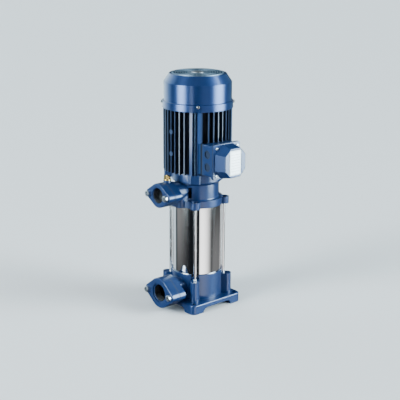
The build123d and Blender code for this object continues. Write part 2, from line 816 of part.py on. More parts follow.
with BuildPart() as discharge_head:
    # Flange on the sleeve, its spigot and the four lugs for the tie rods
    with BuildSketch(Plane.XY.offset(sleeve_top_z)):
        Circle(head_flange_r)
        with PolarLocations((rod_circle_r + head_lug_r) / 2, rod_count, start_angle=45):
            SlotOverall(rod_circle_r + head_lug_r, 2 * head_lug_r)
    extrude(amount=head_flange_thick)
    with BuildSketch(Plane.XY.offset(stack_top_z)):
        Circle(sleeve_ir - sleeve_gap)
    extrude(amount=spigot_depth)
    # Neck that carries the motor
    with BuildSketch(Plane.XY.offset(head_flange_z)):
        Circle(neck_r)
    extrude(amount=neck_height)
    root = discharge_head.edges().filter_by(GeomType.CIRCLE)
    root = root.filter_by(lambda edge: abs(edge.radius - neck_r) < 0.01)
    fillet(root.sort_by(Axis.Z)[0], radius=neck_fillet)
    # Elbow, port tube and oval flange
    with BuildSketch(Plane.XY.offset(sleeve_top_z)) as elbow_outline:
        with Locations((0, -elbow_reach / 2)):
            Rectangle(elbow_width, elbow_reach)
        fillet(elbow_outline.vertices().group_by(Axis.Y)[0], radius=elbow_width / 4)
    extrude(amount=discharge_rise)
    with BuildSketch(facing_front(-tube_start_y, discharge_z)):
        Circle(discharge_tube_r)
    with BuildSketch(facing_front(-discharge_joint + discharge_flange_thick, discharge_z)):
        Circle(discharge_centre_r - tube_shoulder)
    loft()
    with BuildSketch(facing_front(-discharge_joint + discharge_flange_thick, discharge_z)):
        oval(discharge_centre_r, discharge_ear_x, discharge_ear_r)
    extrude(amount=discharge_flange_thick)
    with BuildSketch(Plane.XY.offset(discharge_z)):
        with Locations((0, -plug_y)):
            Circle(plug_boss_r)
    extrude(amount=plug_boss_z - discharge_z)
    # Room for the motor's flange above the neck
    add(drive_shield_form(shield_gap), mode=Mode.SUBTRACT)
    # Chamber over the last stage, with the boss that holds the seal's seat
    with BuildSketch(Plane.XY.offset(stack_top_z)):
        Circle(head_chamber_r)
    extrude(amount=head_ceiling_z - stack_top_z, mode=Mode.SUBTRACT)
    with BuildSketch(Plane.XY.offset(seal_seat_z)):
        Circle(seal_boss_r)
    extrude(amount=seal_boss_height)
    with BuildSketch(Plane.XY.offset(seal_seat_z)):
        Circle(seal_seat_r + fit_gap)
    extrude(amount=seal_seat_height, mode=Mode.SUBTRACT)
    with BuildSketch(Plane.XY.offset(seal_seat_z)):
        Circle(shaft_r + shaft_gap)
    extrude(amount=lantern_z - seal_seat_z, mode=Mode.SUBTRACT)
    # Lantern with two windows
    with BuildSketch(Plane.XY.offset(lantern_z)):
        Circle(lantern_r)
    extrude(amount=neck_top_z - lantern_z, mode=Mode.SUBTRACT)
    with BuildSketch(Plane.XY.offset(window_mid_z - window_height / 2)):
        with Locations(Location((0, 0, 0), (0, 0, window_angle - 90))):
            Rectangle(2 * neck_r + window_width, window_width)
            Circle(lantern_r - window_lip, mode=Mode.SUBTRACT)
    extrude(amount=window_height, mode=Mode.SUBTRACT)
    # Water way: up the elbow and out through the port
    with BuildSketch(Plane.XY.offset(elbow_channel_low_z)):
        with Locations((0, -(port_channel_y + elbow_reach - elbow_wall) / 2)):
            Rectangle(2 * discharge_passage_r, elbow_reach - elbow_wall - port_channel_y)
    extrude(amount=discharge_z - elbow_channel_low_z, mode=Mode.SUBTRACT)
    with BuildSketch(facing_front(-port_channel_y, discharge_z)):
        Circle(discharge_passage_r)
    extrude(amount=discharge_joint - port_channel_y, mode=Mode.SUBTRACT)
    # Holes: tie rods, port bolts, priming plug and the screws of the motor
    with BuildSketch(Plane.XY.offset(sleeve_top_z)):
        with PolarLocations(rod_circle_r, rod_count, start_angle=45):
            Circle(rod_d / 2 + bolt_clearance)
    extrude(amount=head_flange_thick, mode=Mode.SUBTRACT)
    with BuildSketch(Plane.XY.offset(nut_seat_z)):
        with PolarLocations(rod_circle_r, rod_count, start_angle=45):
            Circle(nut_pocket_r)
    extrude(amount=nut_pocket_depth, mode=Mode.SUBTRACT)
    with BuildSketch(facing_front(-discharge_joint, discharge_z)):
        with Locations((discharge_ear_x, 0), (-discharge_ear_x, 0)):
            Circle(port_bolt_d / 2 + running_gap)
    extrude(amount=-port_bolt_grip, mode=Mode.SUBTRACT)
    with BuildSketch(Plane.XY.offset(discharge_z)):
        with Locations((0, -plug_y)):
            Circle(plug_thread_d / 2 + running_gap)
    extrude(amount=plug_boss_z - discharge_z, mode=Mode.SUBTRACT)
    with BuildSketch(Plane.XY.offset(neck_top_z - motor_screw_depth)):
        with PolarLocations(motor_screw_r, 4):
            Circle(motor_screw_d / 2 + running_gap)
    extrude(amount=motor_screw_depth, mode=Mode.SUBTRACT)
    add(o_ring_groove(upper_o_ring_z), mode=Mode.SUBTRACT)
save(discharge_head.part, "discharge_head")

# ---------------------------------------------------------------- tie rods, washers and nuts
washer_r = rod_d
washer_gap = 0.2
washer_thick = 1.6
nut_height = 0.8 * rod_d
nut_across_flats = 13.0
nut_z = nut_seat_z + washer_thick
rod_edge = 0.8
rod_end = 1.5  # rod that shows past its nut
rod_low_z = post_top_z - rod_thread_depth + tip_clearance
rod_top_z = nut_z + nut_height + rod_end
hexagon = 1 / cos(radians(30)) / 2  # corner radius of a hexagon for each unit across its flats

with BuildPart() as tie_rods:
    with BuildSketch(Plane.XY.offset(rod_low_z)):
        with PolarLocations(rod_circle_r, rod_count, start_angle=45):
            Circle(rod_d / 2)
    extrude(amount=rod_top_z - rod_low_z)
    chamfer(tie_rods.faces().group_by(Axis.Z)[-1].edges(), length=rod_edge)
save(tie_rods.part, "tie_rods")

with BuildPart() as tie_rod_washers:
    with BuildSketch(Plane.XY.offset(nut_seat_z)):
        with PolarLocations(rod_circle_r, rod_count, start_angle=45):
            Circle(washer_r)
            Circle(rod_d / 2 + washer_gap, mode=Mode.SUBTRACT)
    extrude(amount=washer_thick)
save(tie_rod_washers.part, "tie_rod_washers")

with BuildPart() as tie_rod_nuts:
    with BuildSketch(Plane.XY.offset(nut_z)):
        with PolarLocations(rod_circle_r, rod_count, start_angle=45):
            RegularPolygon(nut_across_flats * hexagon, 6)
            Circle(rod_d / 2 + fit_gap, mode=Mode.SUBTRACT)
    extrude(amount=nut_height)
save(tie_rod_nuts.part, "tie_rod_nuts")


# ---------------------------------------------------------------- priming and drain plugs
def pipe_plug(seat):
    """Hexagon-headed screw plug with a collar; the seat's plane faces out of the hole."""
    with BuildPart() as piece:
        with BuildSketch(seat):
            Circle(plug_thread_d / 2)
        extrude(amount=-plug_thread_length)
        with BuildSketch(seat):
            Circle(plug_across_flats / 2 + plug_collar_width)
        extrude(amount=plug_collar_thick)
        with BuildSketch(seat.offset(plug_collar_thick)):
            RegularPolygon(plug_across_flats * hexagon, 6)
        extrude(amount=plug_head_height)
    return piece.part


save(pipe_plug(Plane(origin=(0, -plug_y, plug_boss_z))), "priming_plug")
save(pipe_plug(facing_back(drain_boss_reach, drain_z)), "drain_plug")


# ---------------------------------------------------------------- motor: drive end shield
def lugs(width, reach):
    """Four radial lugs for the through bolts, drawn into the sketch that calls it."""
    with PolarLocations(reach / 2, 4, start_angle=45):
        RectangleRounded(reach, width, 4.0)


drive_seat_z = frame_z - drive_bearing_depth - drive_bearing["width"]

with BuildPart() as drive_end_shield:
    add(drive_shield_form(0))
    with BuildSketch(Plane.XY.offset(frame_z - shield_rim_height)):
        Circle(shield_rim_r)
    extrude(amount=shield_rim_height)
    with BuildSketch(Plane.XY.offset(frame_z - lug_height)):
        lugs(lug_width, lug_reach)
    extrude(amount=lug_height)
    with BuildSketch(Plane.XY.offset(frame_z)):
        Circle(frame_ir - running_gap)
    extrude(amount=spigot_height)
    # Cast out round the bearing's hub
    with BuildSketch(Plane.XY.offset(neck_top_z + shield_floor)):
        Circle(shield_band_r - shield_wall)
        Circle(shield_hub_r, mode=Mode.SUBTRACT)
    extrude(amount=shield_height + spigot_height, mode=Mode.SUBTRACT)
    with BuildSketch(Plane.XY.offset(frame_z)):
        Circle(shield_hub_r)
    extrude(amount=spigot_height, mode=Mode.SUBTRACT)
    with BuildSketch(Plane.XY.offset(drive_seat_z)):
        Circle(drive_bearing["outer"] / 2 + fit_gap)
    extrude(amount=frame_z - drive_seat_z, mode=Mode.SUBTRACT)
    with BuildSketch(Plane.XY.offset(neck_top_z)):
        Circle(motor_shaft_r + shaft_gap)
        with PolarLocations(motor_screw_r, 4):
            Circle(motor_screw_d / 2 + bolt_clearance)
    extrude(amount=shield_height, mode=Mode.SUBTRACT)
    with BuildSketch(Plane.XY.offset(frame_z - lug_height)):
        with PolarLocations(through_bolt_circle_r, 4, start_angle=45):
            Circle(through_bolt_d / 2 + running_gap)
    extrude(amount=lug_height, mode=Mode.SUBTRACT)
save(drive_end_shield.part, "drive_end_shield")

with BuildPart() as shield_screws:
    with BuildSketch(Plane.XY.offset(neck_top_z - motor_screw_depth + tip_clearance)):
        with PolarLocations(motor_screw_r, 4):
            Circle(motor_screw_d / 2)
    extrude(amount=motor_screw_depth - tip_clearance + shield_floor)
    with BuildSketch(Plane.XY.offset(neck_top_z + shield_floor)):
        with PolarLocations(motor_screw_r, 4):
            Circle(motor_screw_head_r)
            RegularPolygon(motor_screw_socket_r, 6, mode=Mode.SUBTRACT)
    extrude(amount=motor_screw_d)
save(shield_screws.part, "shield_screws")

# ---------------------------------------------------------------- motor: finned frame
side_angles = [90.0 * side for side in range(4)]
box_side = side_angles[0]  # +X
fin_angles = [
    side + fin_pitch * (number - (fins - 1) / 2)
    for side in side_angles
    for fins in [box_side_fins if side == box_side else fins_per_side]
    for number in range(fins)
]
rib_angles = [side + edge * (45.0 - rib_offset) for side in side_angles[1:] for edge in (-1, 1)]
box_rib_angles = [box_side + edge * (45.0 - box_rib_offset) for edge in (-1, 1)]


def radial_bars(angles, thick, tip_r):
    """Bars that stand on the frame's barrel, drawn into the sketch that calls it."""
    for angle in angles:
        with Locations(Location((0, 0, 0), (0, 0, angle))):
            with Locations(((frame_or - 1.0 + tip_r) / 2, 0)):
                Rectangle(tip_r - frame_or + 1.0, thick)


with BuildPart() as motor_frame:
    with BuildSketch(Plane.XY.offset(frame_z)):
        Circle(frame_or)
        radial_bars(fin_angles, fin_thick, fin_tip_r)
        radial_bars(rib_angles, rib_thick, fin_tip_r)
        radial_bars(box_rib_angles, box_rib_thick, fin_tip_r)
    extrude(amount=frame_height)
    # Pair of cast bosses on the middle fin above the ports
    with BuildSketch(facing_front(0, frame_z + boss_rise)):
        with GridLocations(boss_spacing, boss_spacing, 1, 2):
            Circle(boss_r)
    extrude(amount=fin_tip_r)
    # Pad for the terminal box, cleared of fins
    with BuildSketch(Plane.XY.offset(box_z - box_half_z - pad_margin)):
        with Locations((fin_tip_r, box_y)):
            Rectangle(2 * fin_tip_r, 2 * (box_half_y + box_fin_gap))
        Circle(frame_or + fin_root, mode=Mode.SUBTRACT)
    extrude(amount=2 * (box_half_z + pad_margin), mode=Mode.SUBTRACT)
    with BuildSketch(facing_right(0, box_z)):
        with Locations((box_y, 0)):
            Rectangle(2 * (box_half_y - pad_margin), 2 * (box_half_z - pad_margin))
    extrude(amount=pad_x)
    with BuildSketch(Plane.XY.offset(frame_z)):
        Circle(frame_ir)
    extrude(amount=frame_height, mode=Mode.SUBTRACT)
    with BuildSketch(facing_right(0, box_z)):
        with Locations((box_y, 0)):
            Circle(cable_hole_r)
    extrude(amount=pad_x, mode=Mode.SUBTRACT)
save(motor_frame.part, "motor_frame")

# ---------------------------------------------------------------- motor: stator
with BuildPart() as stator_core:
    with BuildSketch(Plane.XY.offset(stator_z)):
        Circle(frame_ir - fit_gap)
        Circle(stator_bore_r, mode=Mode.SUBTRACT)
        with PolarLocations(stator_bore_r + slot_depth / 2, slot_count):
            Rectangle(slot_depth + 1.0, slot_width, mode=Mode.SUBTRACT)
    extrude(amount=stator_height)
save(stator_core.part, "stator_core")

coil_inner_r = stator_bore_r + 1.5
coil_outer_r = stator_bore_r + slot_depth + 6.0

with BuildPart() as stator_windings:
    with BuildSketch(Plane.XY.offset(stator_z - winding_gap)):
        with PolarLocations((coil_inner_r + stator_bore_r + slot_depth) / 2, slot_count):
            Rectangle(slot_depth - 2.5, slot_width - 2 * winding_gap)
    extrude(amount=stator_height + 2 * winding_gap)
    for ring_z in (stator_z - winding_gap - winding_height, stator_top_z + winding_gap):
        with BuildSketch(Plane.XY.offset(ring_z)):
            Circle(coil_outer_r)
            Circle(coil_inner_r, mode=Mode.SUBTRACT)
        extrude(amount=winding_height)
save(stator_windings.part, "stator_windings")

# ---------------------------------------------------------------- motor: rotor
fan_seat_z = frame_top_z + 1.0
fan_shaft_r = fan_bearing["bore"] / 2

with BuildPart() as motor_shaft:
    with BuildSketch(Plane.XY.offset(coupling_mid_z + 0.5)):
        Circle(motor_shaft_r)
    extrude(amount=fan_seat_z - coupling_mid_z - 0.5)
    with BuildSketch(Plane.XY.offset(fan_seat_z)):
        Circle(fan_shaft_r)
    extrude(amount=rear_shield_top_z + 1.0 - fan_seat_z)
    with BuildSketch(Plane.XY.offset(rear_shield_top_z + 1.0)):
        Circle(fan_bore_r)
    extrude(amount=fan_z + fan_height - rear_shield_top_z)
    chamfer(motor_shaft.faces().sort_by(Axis.Z)[-1].edges(), length=1.0)
save(motor_shaft.part, "motor_shaft")

with BuildPart() as rotor_core:
    with BuildSketch(Plane.XY.offset(stator_z)):
        Circle(stator_bore_r - air_gap)
        Circle(motor_shaft_r + fit_gap, mode=Mode.SUBTRACT)
    extrude(amount=stator_height)
save(rotor_core.part, "rotor_core")

with BuildPart() as rotor_end_rings:
    for ring_z in (stator_z - end_ring_height, stator_top_z):
        with BuildSketch(Plane.XY.offset(ring_z)):
            Circle(stator_bore_r - air_gap - 1.0)
            Circle(motor_shaft_r + 8.0, mode=Mode.SUBTRACT)
        extrude(amount=end_ring_height)
save(rotor_end_rings.part, "rotor_end_rings")

with BuildPart() as water_slinger:
    with BuildSketch(Plane.XY.offset(coupling_z + coupling_height + 0.3)):
        Circle(coupling_r - 1.0)
        Circle(motor_shaft_r + fit_gap, mode=Mode.SUBTRACT)
    extrude(amount=neck_top_z - coupling_z - coupling_height - 1.0)
save(water_slinger.part, "water_slinger")

# ---------------------------------------------------------------- motor: bearings
bearings = [(drive_bearing, drive_seat_z), (fan_bearing, fan_seat_z)]

with BuildPart() as bearing_outer_rings:
    for bearing, low in bearings:
        with BuildSketch(Plane.XY.offset(low)):
            Circle(bearing["outer"] / 2)
            Circle(bearing["outer"] / 2 - bearing_ring_thick, mode=Mode.SUBTRACT)
        extrude(amount=bearing["width"])
save(bearing_outer_rings.part, "bearing_outer_rings")

with BuildPart() as bearing_inner_rings:
    for bearing, low in bearings:
        with BuildSketch(Plane.XY.offset(low)):
            Circle(bearing["bore"] / 2 + bearing_ring_thick)
            Circle(bearing["bore"] / 2 + fit_gap, mode=Mode.SUBTRACT)
        extrude(amount=bearing["width"])
save(bearing_inner_rings.part, "bearing_inner_rings")

with BuildPart() as bearing_balls:
    for bearing, low in bearings:
        track_r = (bearing["outer"] + bearing["bore"]) / 4
        ball_r = (bearing["outer"] - bearing["bore"]) / 4 - bearing_ring_thick - running_gap
        with Locations((0, 0, low + bearing["width"] / 2)):
            with PolarLocations(track_r, bearing["balls"]):
                Sphere(ball_r)
save(bearing_balls.part, "bearing_balls")

# ---------------------------------------------------------------- motor: rear shield and through bolts
screw_hole_r = lug_reach - cover_screw_bite


def facing_out(side, distance):
    """Sketch plane square to the axis of the cover screw on this side, at a distance from the shaft."""
    angle = radians(45.0 + side + cover_screw_angle)
    outward = Vector(cos(angle), sin(angle), 0)
    return Plane(origin=outward * distance + Vector(0, 0, cover_lip_z + cover_screw_rise), z_dir=outward)


with BuildPart() as rear_shield:
    with BuildSketch(Plane.XY.offset(frame_top_z)):
        Circle(frame_or)
    extrude(amount=rear_shield_height)
    with BuildSketch(Plane.XY.offset(frame_top_z)):
        lugs(lug_width, lug_reach)
    extrude(amount=rear_lug_height)
    with BuildSketch(Plane.XY.offset(frame_top_z - spigot_height)):
        Circle(frame_ir - running_gap)
        Circle(frame_ir - shield_wall, mode=Mode.SUBTRACT)
    extrude(amount=spigot_height)
    with BuildSketch(Plane.XY.offset(frame_top_z)):
        Circle(frame_ir - shield_wall)
        Circle(shield_hub_r, mode=Mode.SUBTRACT)
    extrude(amount=rear_shield_height - rear_shield_wall, mode=Mode.SUBTRACT)
    with BuildSketch(Plane.XY.offset(frame_top_z)):
        Circle(fan_bearing["outer"] / 2 + fit_gap)
    extrude(amount=fan_seat_z + fan_bearing["width"] - frame_top_z, mode=Mode.SUBTRACT)
    with BuildSketch(Plane.XY.offset(frame_top_z)):
        Circle(fan_shaft_r + shaft_gap / 2)
        with PolarLocations(through_bolt_circle_r, 4, start_angle=45):
            Circle(through_bolt_d / 2 + through_bolt_gap)
    extrude(amount=rear_shield_height, mode=Mode.SUBTRACT)
    for side in side_angles:
        with BuildSketch(facing_out(side, screw_hole_r)):
            Circle(cover_screw_d / 2 + running_gap)
        extrude(amount=cover_lip_r - screw_hole_r, mode=Mode.SUBTRACT)
save(rear_shield.part, "rear_shield")

through_bolt_z = frame_z - lug_height
with BuildPart() as through_bolts:
    with BuildSketch(Plane.XY.offset(through_bolt_z)):
        with PolarLocations(through_bolt_circle_r, 4, start_angle=45):
            Circle(through_bolt_d / 2)
    extrude(amount=rear_lug_top_z - through_bolt_z)
    with BuildSketch(Plane.XY.offset(rear_lug_top_z)):
        with PolarLocations(through_bolt_circle_r, 4, start_angle=45):
            RegularPolygon(through_bolt_across_flats * hexagon, 6)
    extrude(amount=through_bolt_head_height)
save(through_bolts.part, "through_bolts")

# ---------------------------------------------------------------- fan, its cover and the grille
with BuildPart() as cooling_fan:
    with BuildSketch(Plane.XY.offset(fan_z)):
        Circle(fan_hub_r)
    extrude(amount=fan_hub_height)
    with BuildSketch(Plane.XY.offset(fan_z)):
        Circle(fan_disc_r)
    extrude(amount=fan_disc_thick)
    with BuildSketch(Plane.XY.offset(fan_z)):
        with PolarLocations((fan_bore_r + fan_r) / 2, fan_blade_count):
            Rectangle(fan_r - fan_bore_r, fan_blade_thick)
    extrude(amount=fan_height)
    with BuildSketch(Plane.XY.offset(fan_z)):
        Circle(fan_bore_r + fit_gap)
    extrude(amount=fan_height, mode=Mode.SUBTRACT)
save(cooling_fan.part, "cooling_fan")

with BuildPart() as fan_cover:
    with BuildSketch(Plane.XZ):
        with BuildLine():
            Polyline(
                (cover_lip_r, cover_lip_z),
                (cover_lip_r, cover_side_z - cover_wall),
                (cover_r, cover_side_z),
                (cover_r, cover_shoulder_z),
                (cover_shoulder_r, cover_top_z),
                (grille_r - grille_overlap, cover_top_z),
            )
            offset(amount=cover_wall, side=Side.LEFT)
        make_face()
    revolve(axis=Axis.Z)
    for side in side_angles:
        with BuildSketch(facing_out(side, screw_hole_r)):
            Circle(cover_screw_d / 2 + cover_hole_gap)
        extrude(amount=cover_lip_r, mode=Mode.SUBTRACT)
save(fan_cover.part, "fan_cover")

cover_screw_seat_r = cover_lip_r + running_gap

with BuildPart() as fan_cover_screws:
    for side in side_angles:
        with BuildSketch(facing_out(side, screw_hole_r + tip_clearance)):
            Circle(cover_screw_d / 2)
        extrude(amount=cover_screw_seat_r - screw_hole_r)
        with BuildSketch(facing_out(side, cover_screw_seat_r)):
            Circle(cover_screw_head_r)
        extrude(amount=cover_screw_head_height)
save(fan_cover_screws.part, "fan_cover_screws")

with BuildPart() as fan_grille:
    with BuildSketch(Plane.XY.offset(cover_top_z)) as guard:
        Circle(grille_r)
        for ring in reversed(range(grille_ring_count)):
            slot_r = grille_centre_r + grille_ring_pitch * (ring + 0.5)
            Circle(slot_r + grille_slot_width / 2, mode=Mode.SUBTRACT)
            Circle(slot_r - grille_slot_width / 2)
        with PolarLocations(0, grille_bridge_count):
            Rectangle(2 * grille_r - grille_overlap, grille_bridge_width)
    extrude(amount=grille_thick)
save(fan_grille.part, "fan_grille")


# ---------------------------------------------------------------- terminal box
def facing_box(x):
    """Sketch plane square to the terminal box's depth, centred on it, with x along +Y and y along +Z."""
    return Plane(origin=(x, box_y, box_z), x_dir=(0, 1, 0), z_dir=(1, 0, 0))


def cut_corner_form(shrink):
    """Raised form of the terminal box's cover: a tapered block with cut corners, shrunk by a wall."""
    with BuildPart() as form:
        with BuildSketch(facing_box(box_flange_x)) as base:
            Rectangle(2 * (box_cover_half_y - shrink), 2 * (box_cover_half_z - shrink))
            chamfer(base.vertices(), length=box_cover_chamfer)
        extrude(amount=box_cover_depth - shrink, taper=box_cover_taper)
    return form.part


box_front_y = box_y - box_half_y
box_front_x = box_flange_x + box_cover_depth

with BuildPart() as terminal_box:
    with BuildSketch(facing_box(pad_x)):
        RectangleRounded(2 * box_half_y, 2 * box_half_z, box_corner_r)
    extrude(amount=box_flange_x - pad_x)
    with BuildSketch(facing_box(box_flange_x - box_flange_thick)):
        RectangleRounded(2 * box_flange_half_y, 2 * box_flange_half_z, box_corner_r)
    extrude(amount=box_flange_thick)
    with BuildSketch(facing_box(pad_x + box_wall)):
        RectangleRounded(2 * (box_half_y - box_wall), 2 * (box_half_z - box_wall), box_corner_r)
    extrude(amount=box_flange_x - pad_x, mode=Mode.SUBTRACT)
    # Four posts in the corners for the cover's screws
    with BuildSketch(facing_box(pad_x + box_wall)) as posts:
        with GridLocations(2 * box_screw_y, 2 * box_screw_z, 2, 2):
            Circle(box_screw_d)
    extrude(amount=box_flange_x - pad_x - box_wall)
    with BuildSketch(facing_box(pad_x)):
        Circle(cable_hole_r)
    extrude(amount=box_wall, mode=Mode.SUBTRACT)
    with BuildSketch(facing_front(box_front_y + box_wall, box_z)):
        with Locations((entry_x, -entry_spread / 2), (entry_x, entry_spread / 2)):
            Circle(entry_r)
    extrude(amount=box_wall, mode=Mode.SUBTRACT)
    with BuildSketch(facing_box(box_flange_x - box_screw_grip)):
        with GridLocations(2 * box_screw_y, 2 * box_screw_z, 2, 2):
            Circle(box_screw_d / 2 + running_gap)
    extrude(amount=box_screw_grip, mode=Mode.SUBTRACT)
save(terminal_box.part, "terminal_box")

with BuildPart() as entry_plugs:
    with BuildSketch(facing_front(box_front_y + box_wall, box_z)):
        with Locations((entry_x, -entry_spread / 2), (entry_x, entry_spread / 2)):
            Circle(entry_r - fit_gap)
    extrude(amount=box_wall)
    with BuildSketch(facing_front(box_front_y, box_z)):
        with Locations((entry_x, -entry_spread / 2), (entry_x, entry_spread / 2)):
            Circle(entry_r - entry_rim)
    extrude(amount=-entry_recess, mode=Mode.SUBTRACT)
save(entry_plugs.part, "entry_plugs")

with BuildPart() as terminal_box_cover:
    with BuildSketch(facing_box(box_flange_x)):
        RectangleRounded(2 * box_flange_half_y, 2 * box_flange_half_z, box_corner_r)
    extrude(amount=box_cover_flange_thick)
    add(cut_corner_form(0))
    fillet(terminal_box_cover.faces().sort_by(Axis.X)[-1].edges(), radius=box_cover_edge_r)
    add(cut_corner_form(box_wall), mode=Mode.SUBTRACT)
    with BuildSketch(facing_box(box_front_x)):
        RectangleRounded(plate_width + 2 * plate_margin, plate_height + 2 * plate_margin, plate_corner_r)
    extrude(amount=-plate_recess, mode=Mode.SUBTRACT)
    with BuildSketch(facing_box(box_flange_x)):
        with GridLocations(2 * box_screw_y, 2 * box_screw_z, 2, 2):
            Circle(box_screw_d / 2 + bolt_clearance)
    extrude(amount=box_cover_flange_thick, mode=Mode.SUBTRACT)
save(terminal_box_cover.part, "terminal_box_cover")

with BuildPart() as terminal_box_screws:
    with BuildSketch(facing_box(box_flange_x - box_screw_grip + tip_clearance)):
        with GridLocations(2 * box_screw_y, 2 * box_screw_z, 2, 2):
            Circle(box_screw_d / 2)
    extrude(amount=box_screw_grip - tip_clearance + box_cover_flange_thick)
    with BuildSketch(facing_box(box_flange_x + box_cover_flange_thick)):
        with GridLocations(2 * box_screw_y, 2 * box_screw_z, 2, 2):
            Circle(box_screw_head_r)
    extrude(amount=box_screw_head_height)
save(terminal_box_screws.part, "terminal_box_screws")

with BuildPart() as terminal_board:
    with BuildSketch(facing_box(pad_x + box_wall)):
        Rectangle(board_width, board_height)
        Circle(cable_hole_r, mode=Mode.SUBTRACT)
    extrude(amount=board_thick)
    with BuildSketch(facing_box(pad_x + box_wall + board_thick)):
        with GridLocations(terminal_stud_pitch_y, terminal_stud_pitch_z, 3, 2):
            Circle(terminal_stud_r)
    extrude(amount=terminal_stud_length)
save(terminal_board.part, "terminal_board")

with BuildPart() as rating_plate:
    with BuildSketch(facing_box(box_front_x - plate_recess)):
        RectangleRounded(plate_width, plate_height, plate_corner_r)
    extrude(amount=rating_plate_thick)
save(rating_plate.part, "rating_plate")
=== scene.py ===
"""Looks of the vertical multistage pump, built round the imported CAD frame. Metres, +Z up."""

import json
import math
from collections import namedtuple

import bpy
from mathutils import Matrix, Vector


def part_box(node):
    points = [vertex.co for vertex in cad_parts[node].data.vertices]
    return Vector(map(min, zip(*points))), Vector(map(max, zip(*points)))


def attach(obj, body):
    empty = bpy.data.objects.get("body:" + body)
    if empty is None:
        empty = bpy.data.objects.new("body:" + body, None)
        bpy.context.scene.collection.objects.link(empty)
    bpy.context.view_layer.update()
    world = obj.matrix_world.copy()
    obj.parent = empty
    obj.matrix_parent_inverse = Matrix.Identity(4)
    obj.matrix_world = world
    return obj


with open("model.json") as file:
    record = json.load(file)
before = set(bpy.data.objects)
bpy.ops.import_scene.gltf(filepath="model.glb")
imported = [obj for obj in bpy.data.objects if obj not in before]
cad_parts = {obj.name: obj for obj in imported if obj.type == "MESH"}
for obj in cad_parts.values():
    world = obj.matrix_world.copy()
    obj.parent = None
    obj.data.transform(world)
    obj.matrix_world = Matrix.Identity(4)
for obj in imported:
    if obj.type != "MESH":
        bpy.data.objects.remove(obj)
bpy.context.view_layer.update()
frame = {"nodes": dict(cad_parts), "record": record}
nodes = frame["nodes"]

# ---------------------------------------------------------------- camera
CAMERA_AZIMUTH = 49.2  # degrees; 0 looks along +Y
CAMERA_ELEVATION = 15.01
CAMERA_DISTANCE = 2.42865
CAMERA_TARGET = Vector((0.0, 0.0, 0.320))
CAMERA_YAW = 0.17  # degrees off the target, to the right
CAMERA_PITCH = -0.96  # degrees off the target, upwards
CAMERA_ROLL = 0.32
CAMERA_REACH = 100.0
SENSOR_WIDTH = 36.0  # millimetres
FOCAL_LENGTH = 83.97  # millimetres


def direction_to(azimuth, elevation):
    """Unit vector from the pump towards an azimuth and elevation in degrees."""
    a = math.radians(azimuth)
    e = math.radians(elevation)
    return Vector((math.sin(a) * math.cos(e), -math.cos(a) * math.cos(e), math.sin(e)))


def add_camera():
    """Camera that looks nearly at its target, and a little rolled."""
    azimuth = math.radians(CAMERA_AZIMUTH)
    yaw, pitch, roll = (math.radians(angle) for angle in (CAMERA_YAW, CAMERA_PITCH, CAMERA_ROLL))
    out = direction_to(CAMERA_AZIMUTH, CAMERA_ELEVATION)
    right = Vector((math.cos(azimuth), math.sin(azimuth), 0.0))
    up = right.cross(-out)
    ahead = -out * math.cos(yaw) * math.cos(pitch)
    ahead += right * math.sin(yaw) * math.cos(pitch)
    ahead += up * math.sin(pitch)
    right = ahead.cross(Vector((0, 0, 1))).normalized()
    up = right.cross(ahead)
    right = right * math.cos(roll) + up * math.sin(roll)
    up = right.cross(ahead)
    data = bpy.data.cameras.new("camera")
    data.sensor_width = SENSOR_WIDTH
    data.lens = FOCAL_LENGTH
    data.clip_end = CAMERA_REACH
    camera = bpy.data.objects.new("camera", data)
    bpy.context.scene.collection.objects.link(camera)
    turn = Matrix((right, up, -ahead)).transposed().to_4x4()
    camera.matrix_world = Matrix.Translation(CAMERA_TARGET + out * CAMERA_DISTANCE) @ turn
    bpy.context.scene.camera = camera


# ---------------------------------------------------------------- shader nodes
def feed(tree, socket, value):
    """Link a socket to another node's output, or set it to a plain value."""
    if isinstance(value, bpy.types.NodeSocket):
        tree.links.new(value, socket)
    else:
        socket.default_value = value


def math_node(tree, operation, *values):
    """Result of one operation on numbers or sockets."""
    node = tree.nodes.new("ShaderNodeMath")
    node.operation = operation
    for socket, value in zip(node.inputs, values):
        feed(tree, socket, value)
    return node.outputs[0]


def product(tree, first, second):
    """First value times the second."""
    return math_node(tree, "MULTIPLY", first, second)


def ramp(tree, value, low, high, start=0.0, end=1.0):
    """Smooth step of value from start at low to end at high."""
    node = tree.nodes.new("ShaderNodeMapRange")
    node.interpolation_type = "SMOOTHSTEP"
    tree.links.new(value, node.inputs["Value"])
    node.inputs["From Min"].default_value = low
    node.inputs["From Max"].default_value = high
    node.inputs["To Min"].default_value = start
    node.inputs["To Max"].default_value = end
    return node.outputs["Result"]


def axes(tree, kind):
    """X, Y and Z of a kind of texture coordinate."""
    coordinates = tree.nodes.new("ShaderNodeTexCoord")
    split = tree.nodes.new("ShaderNodeSeparateXYZ")
    tree.links.new(coordinates.outputs[kind], split.inputs[0])
    return split.outputs


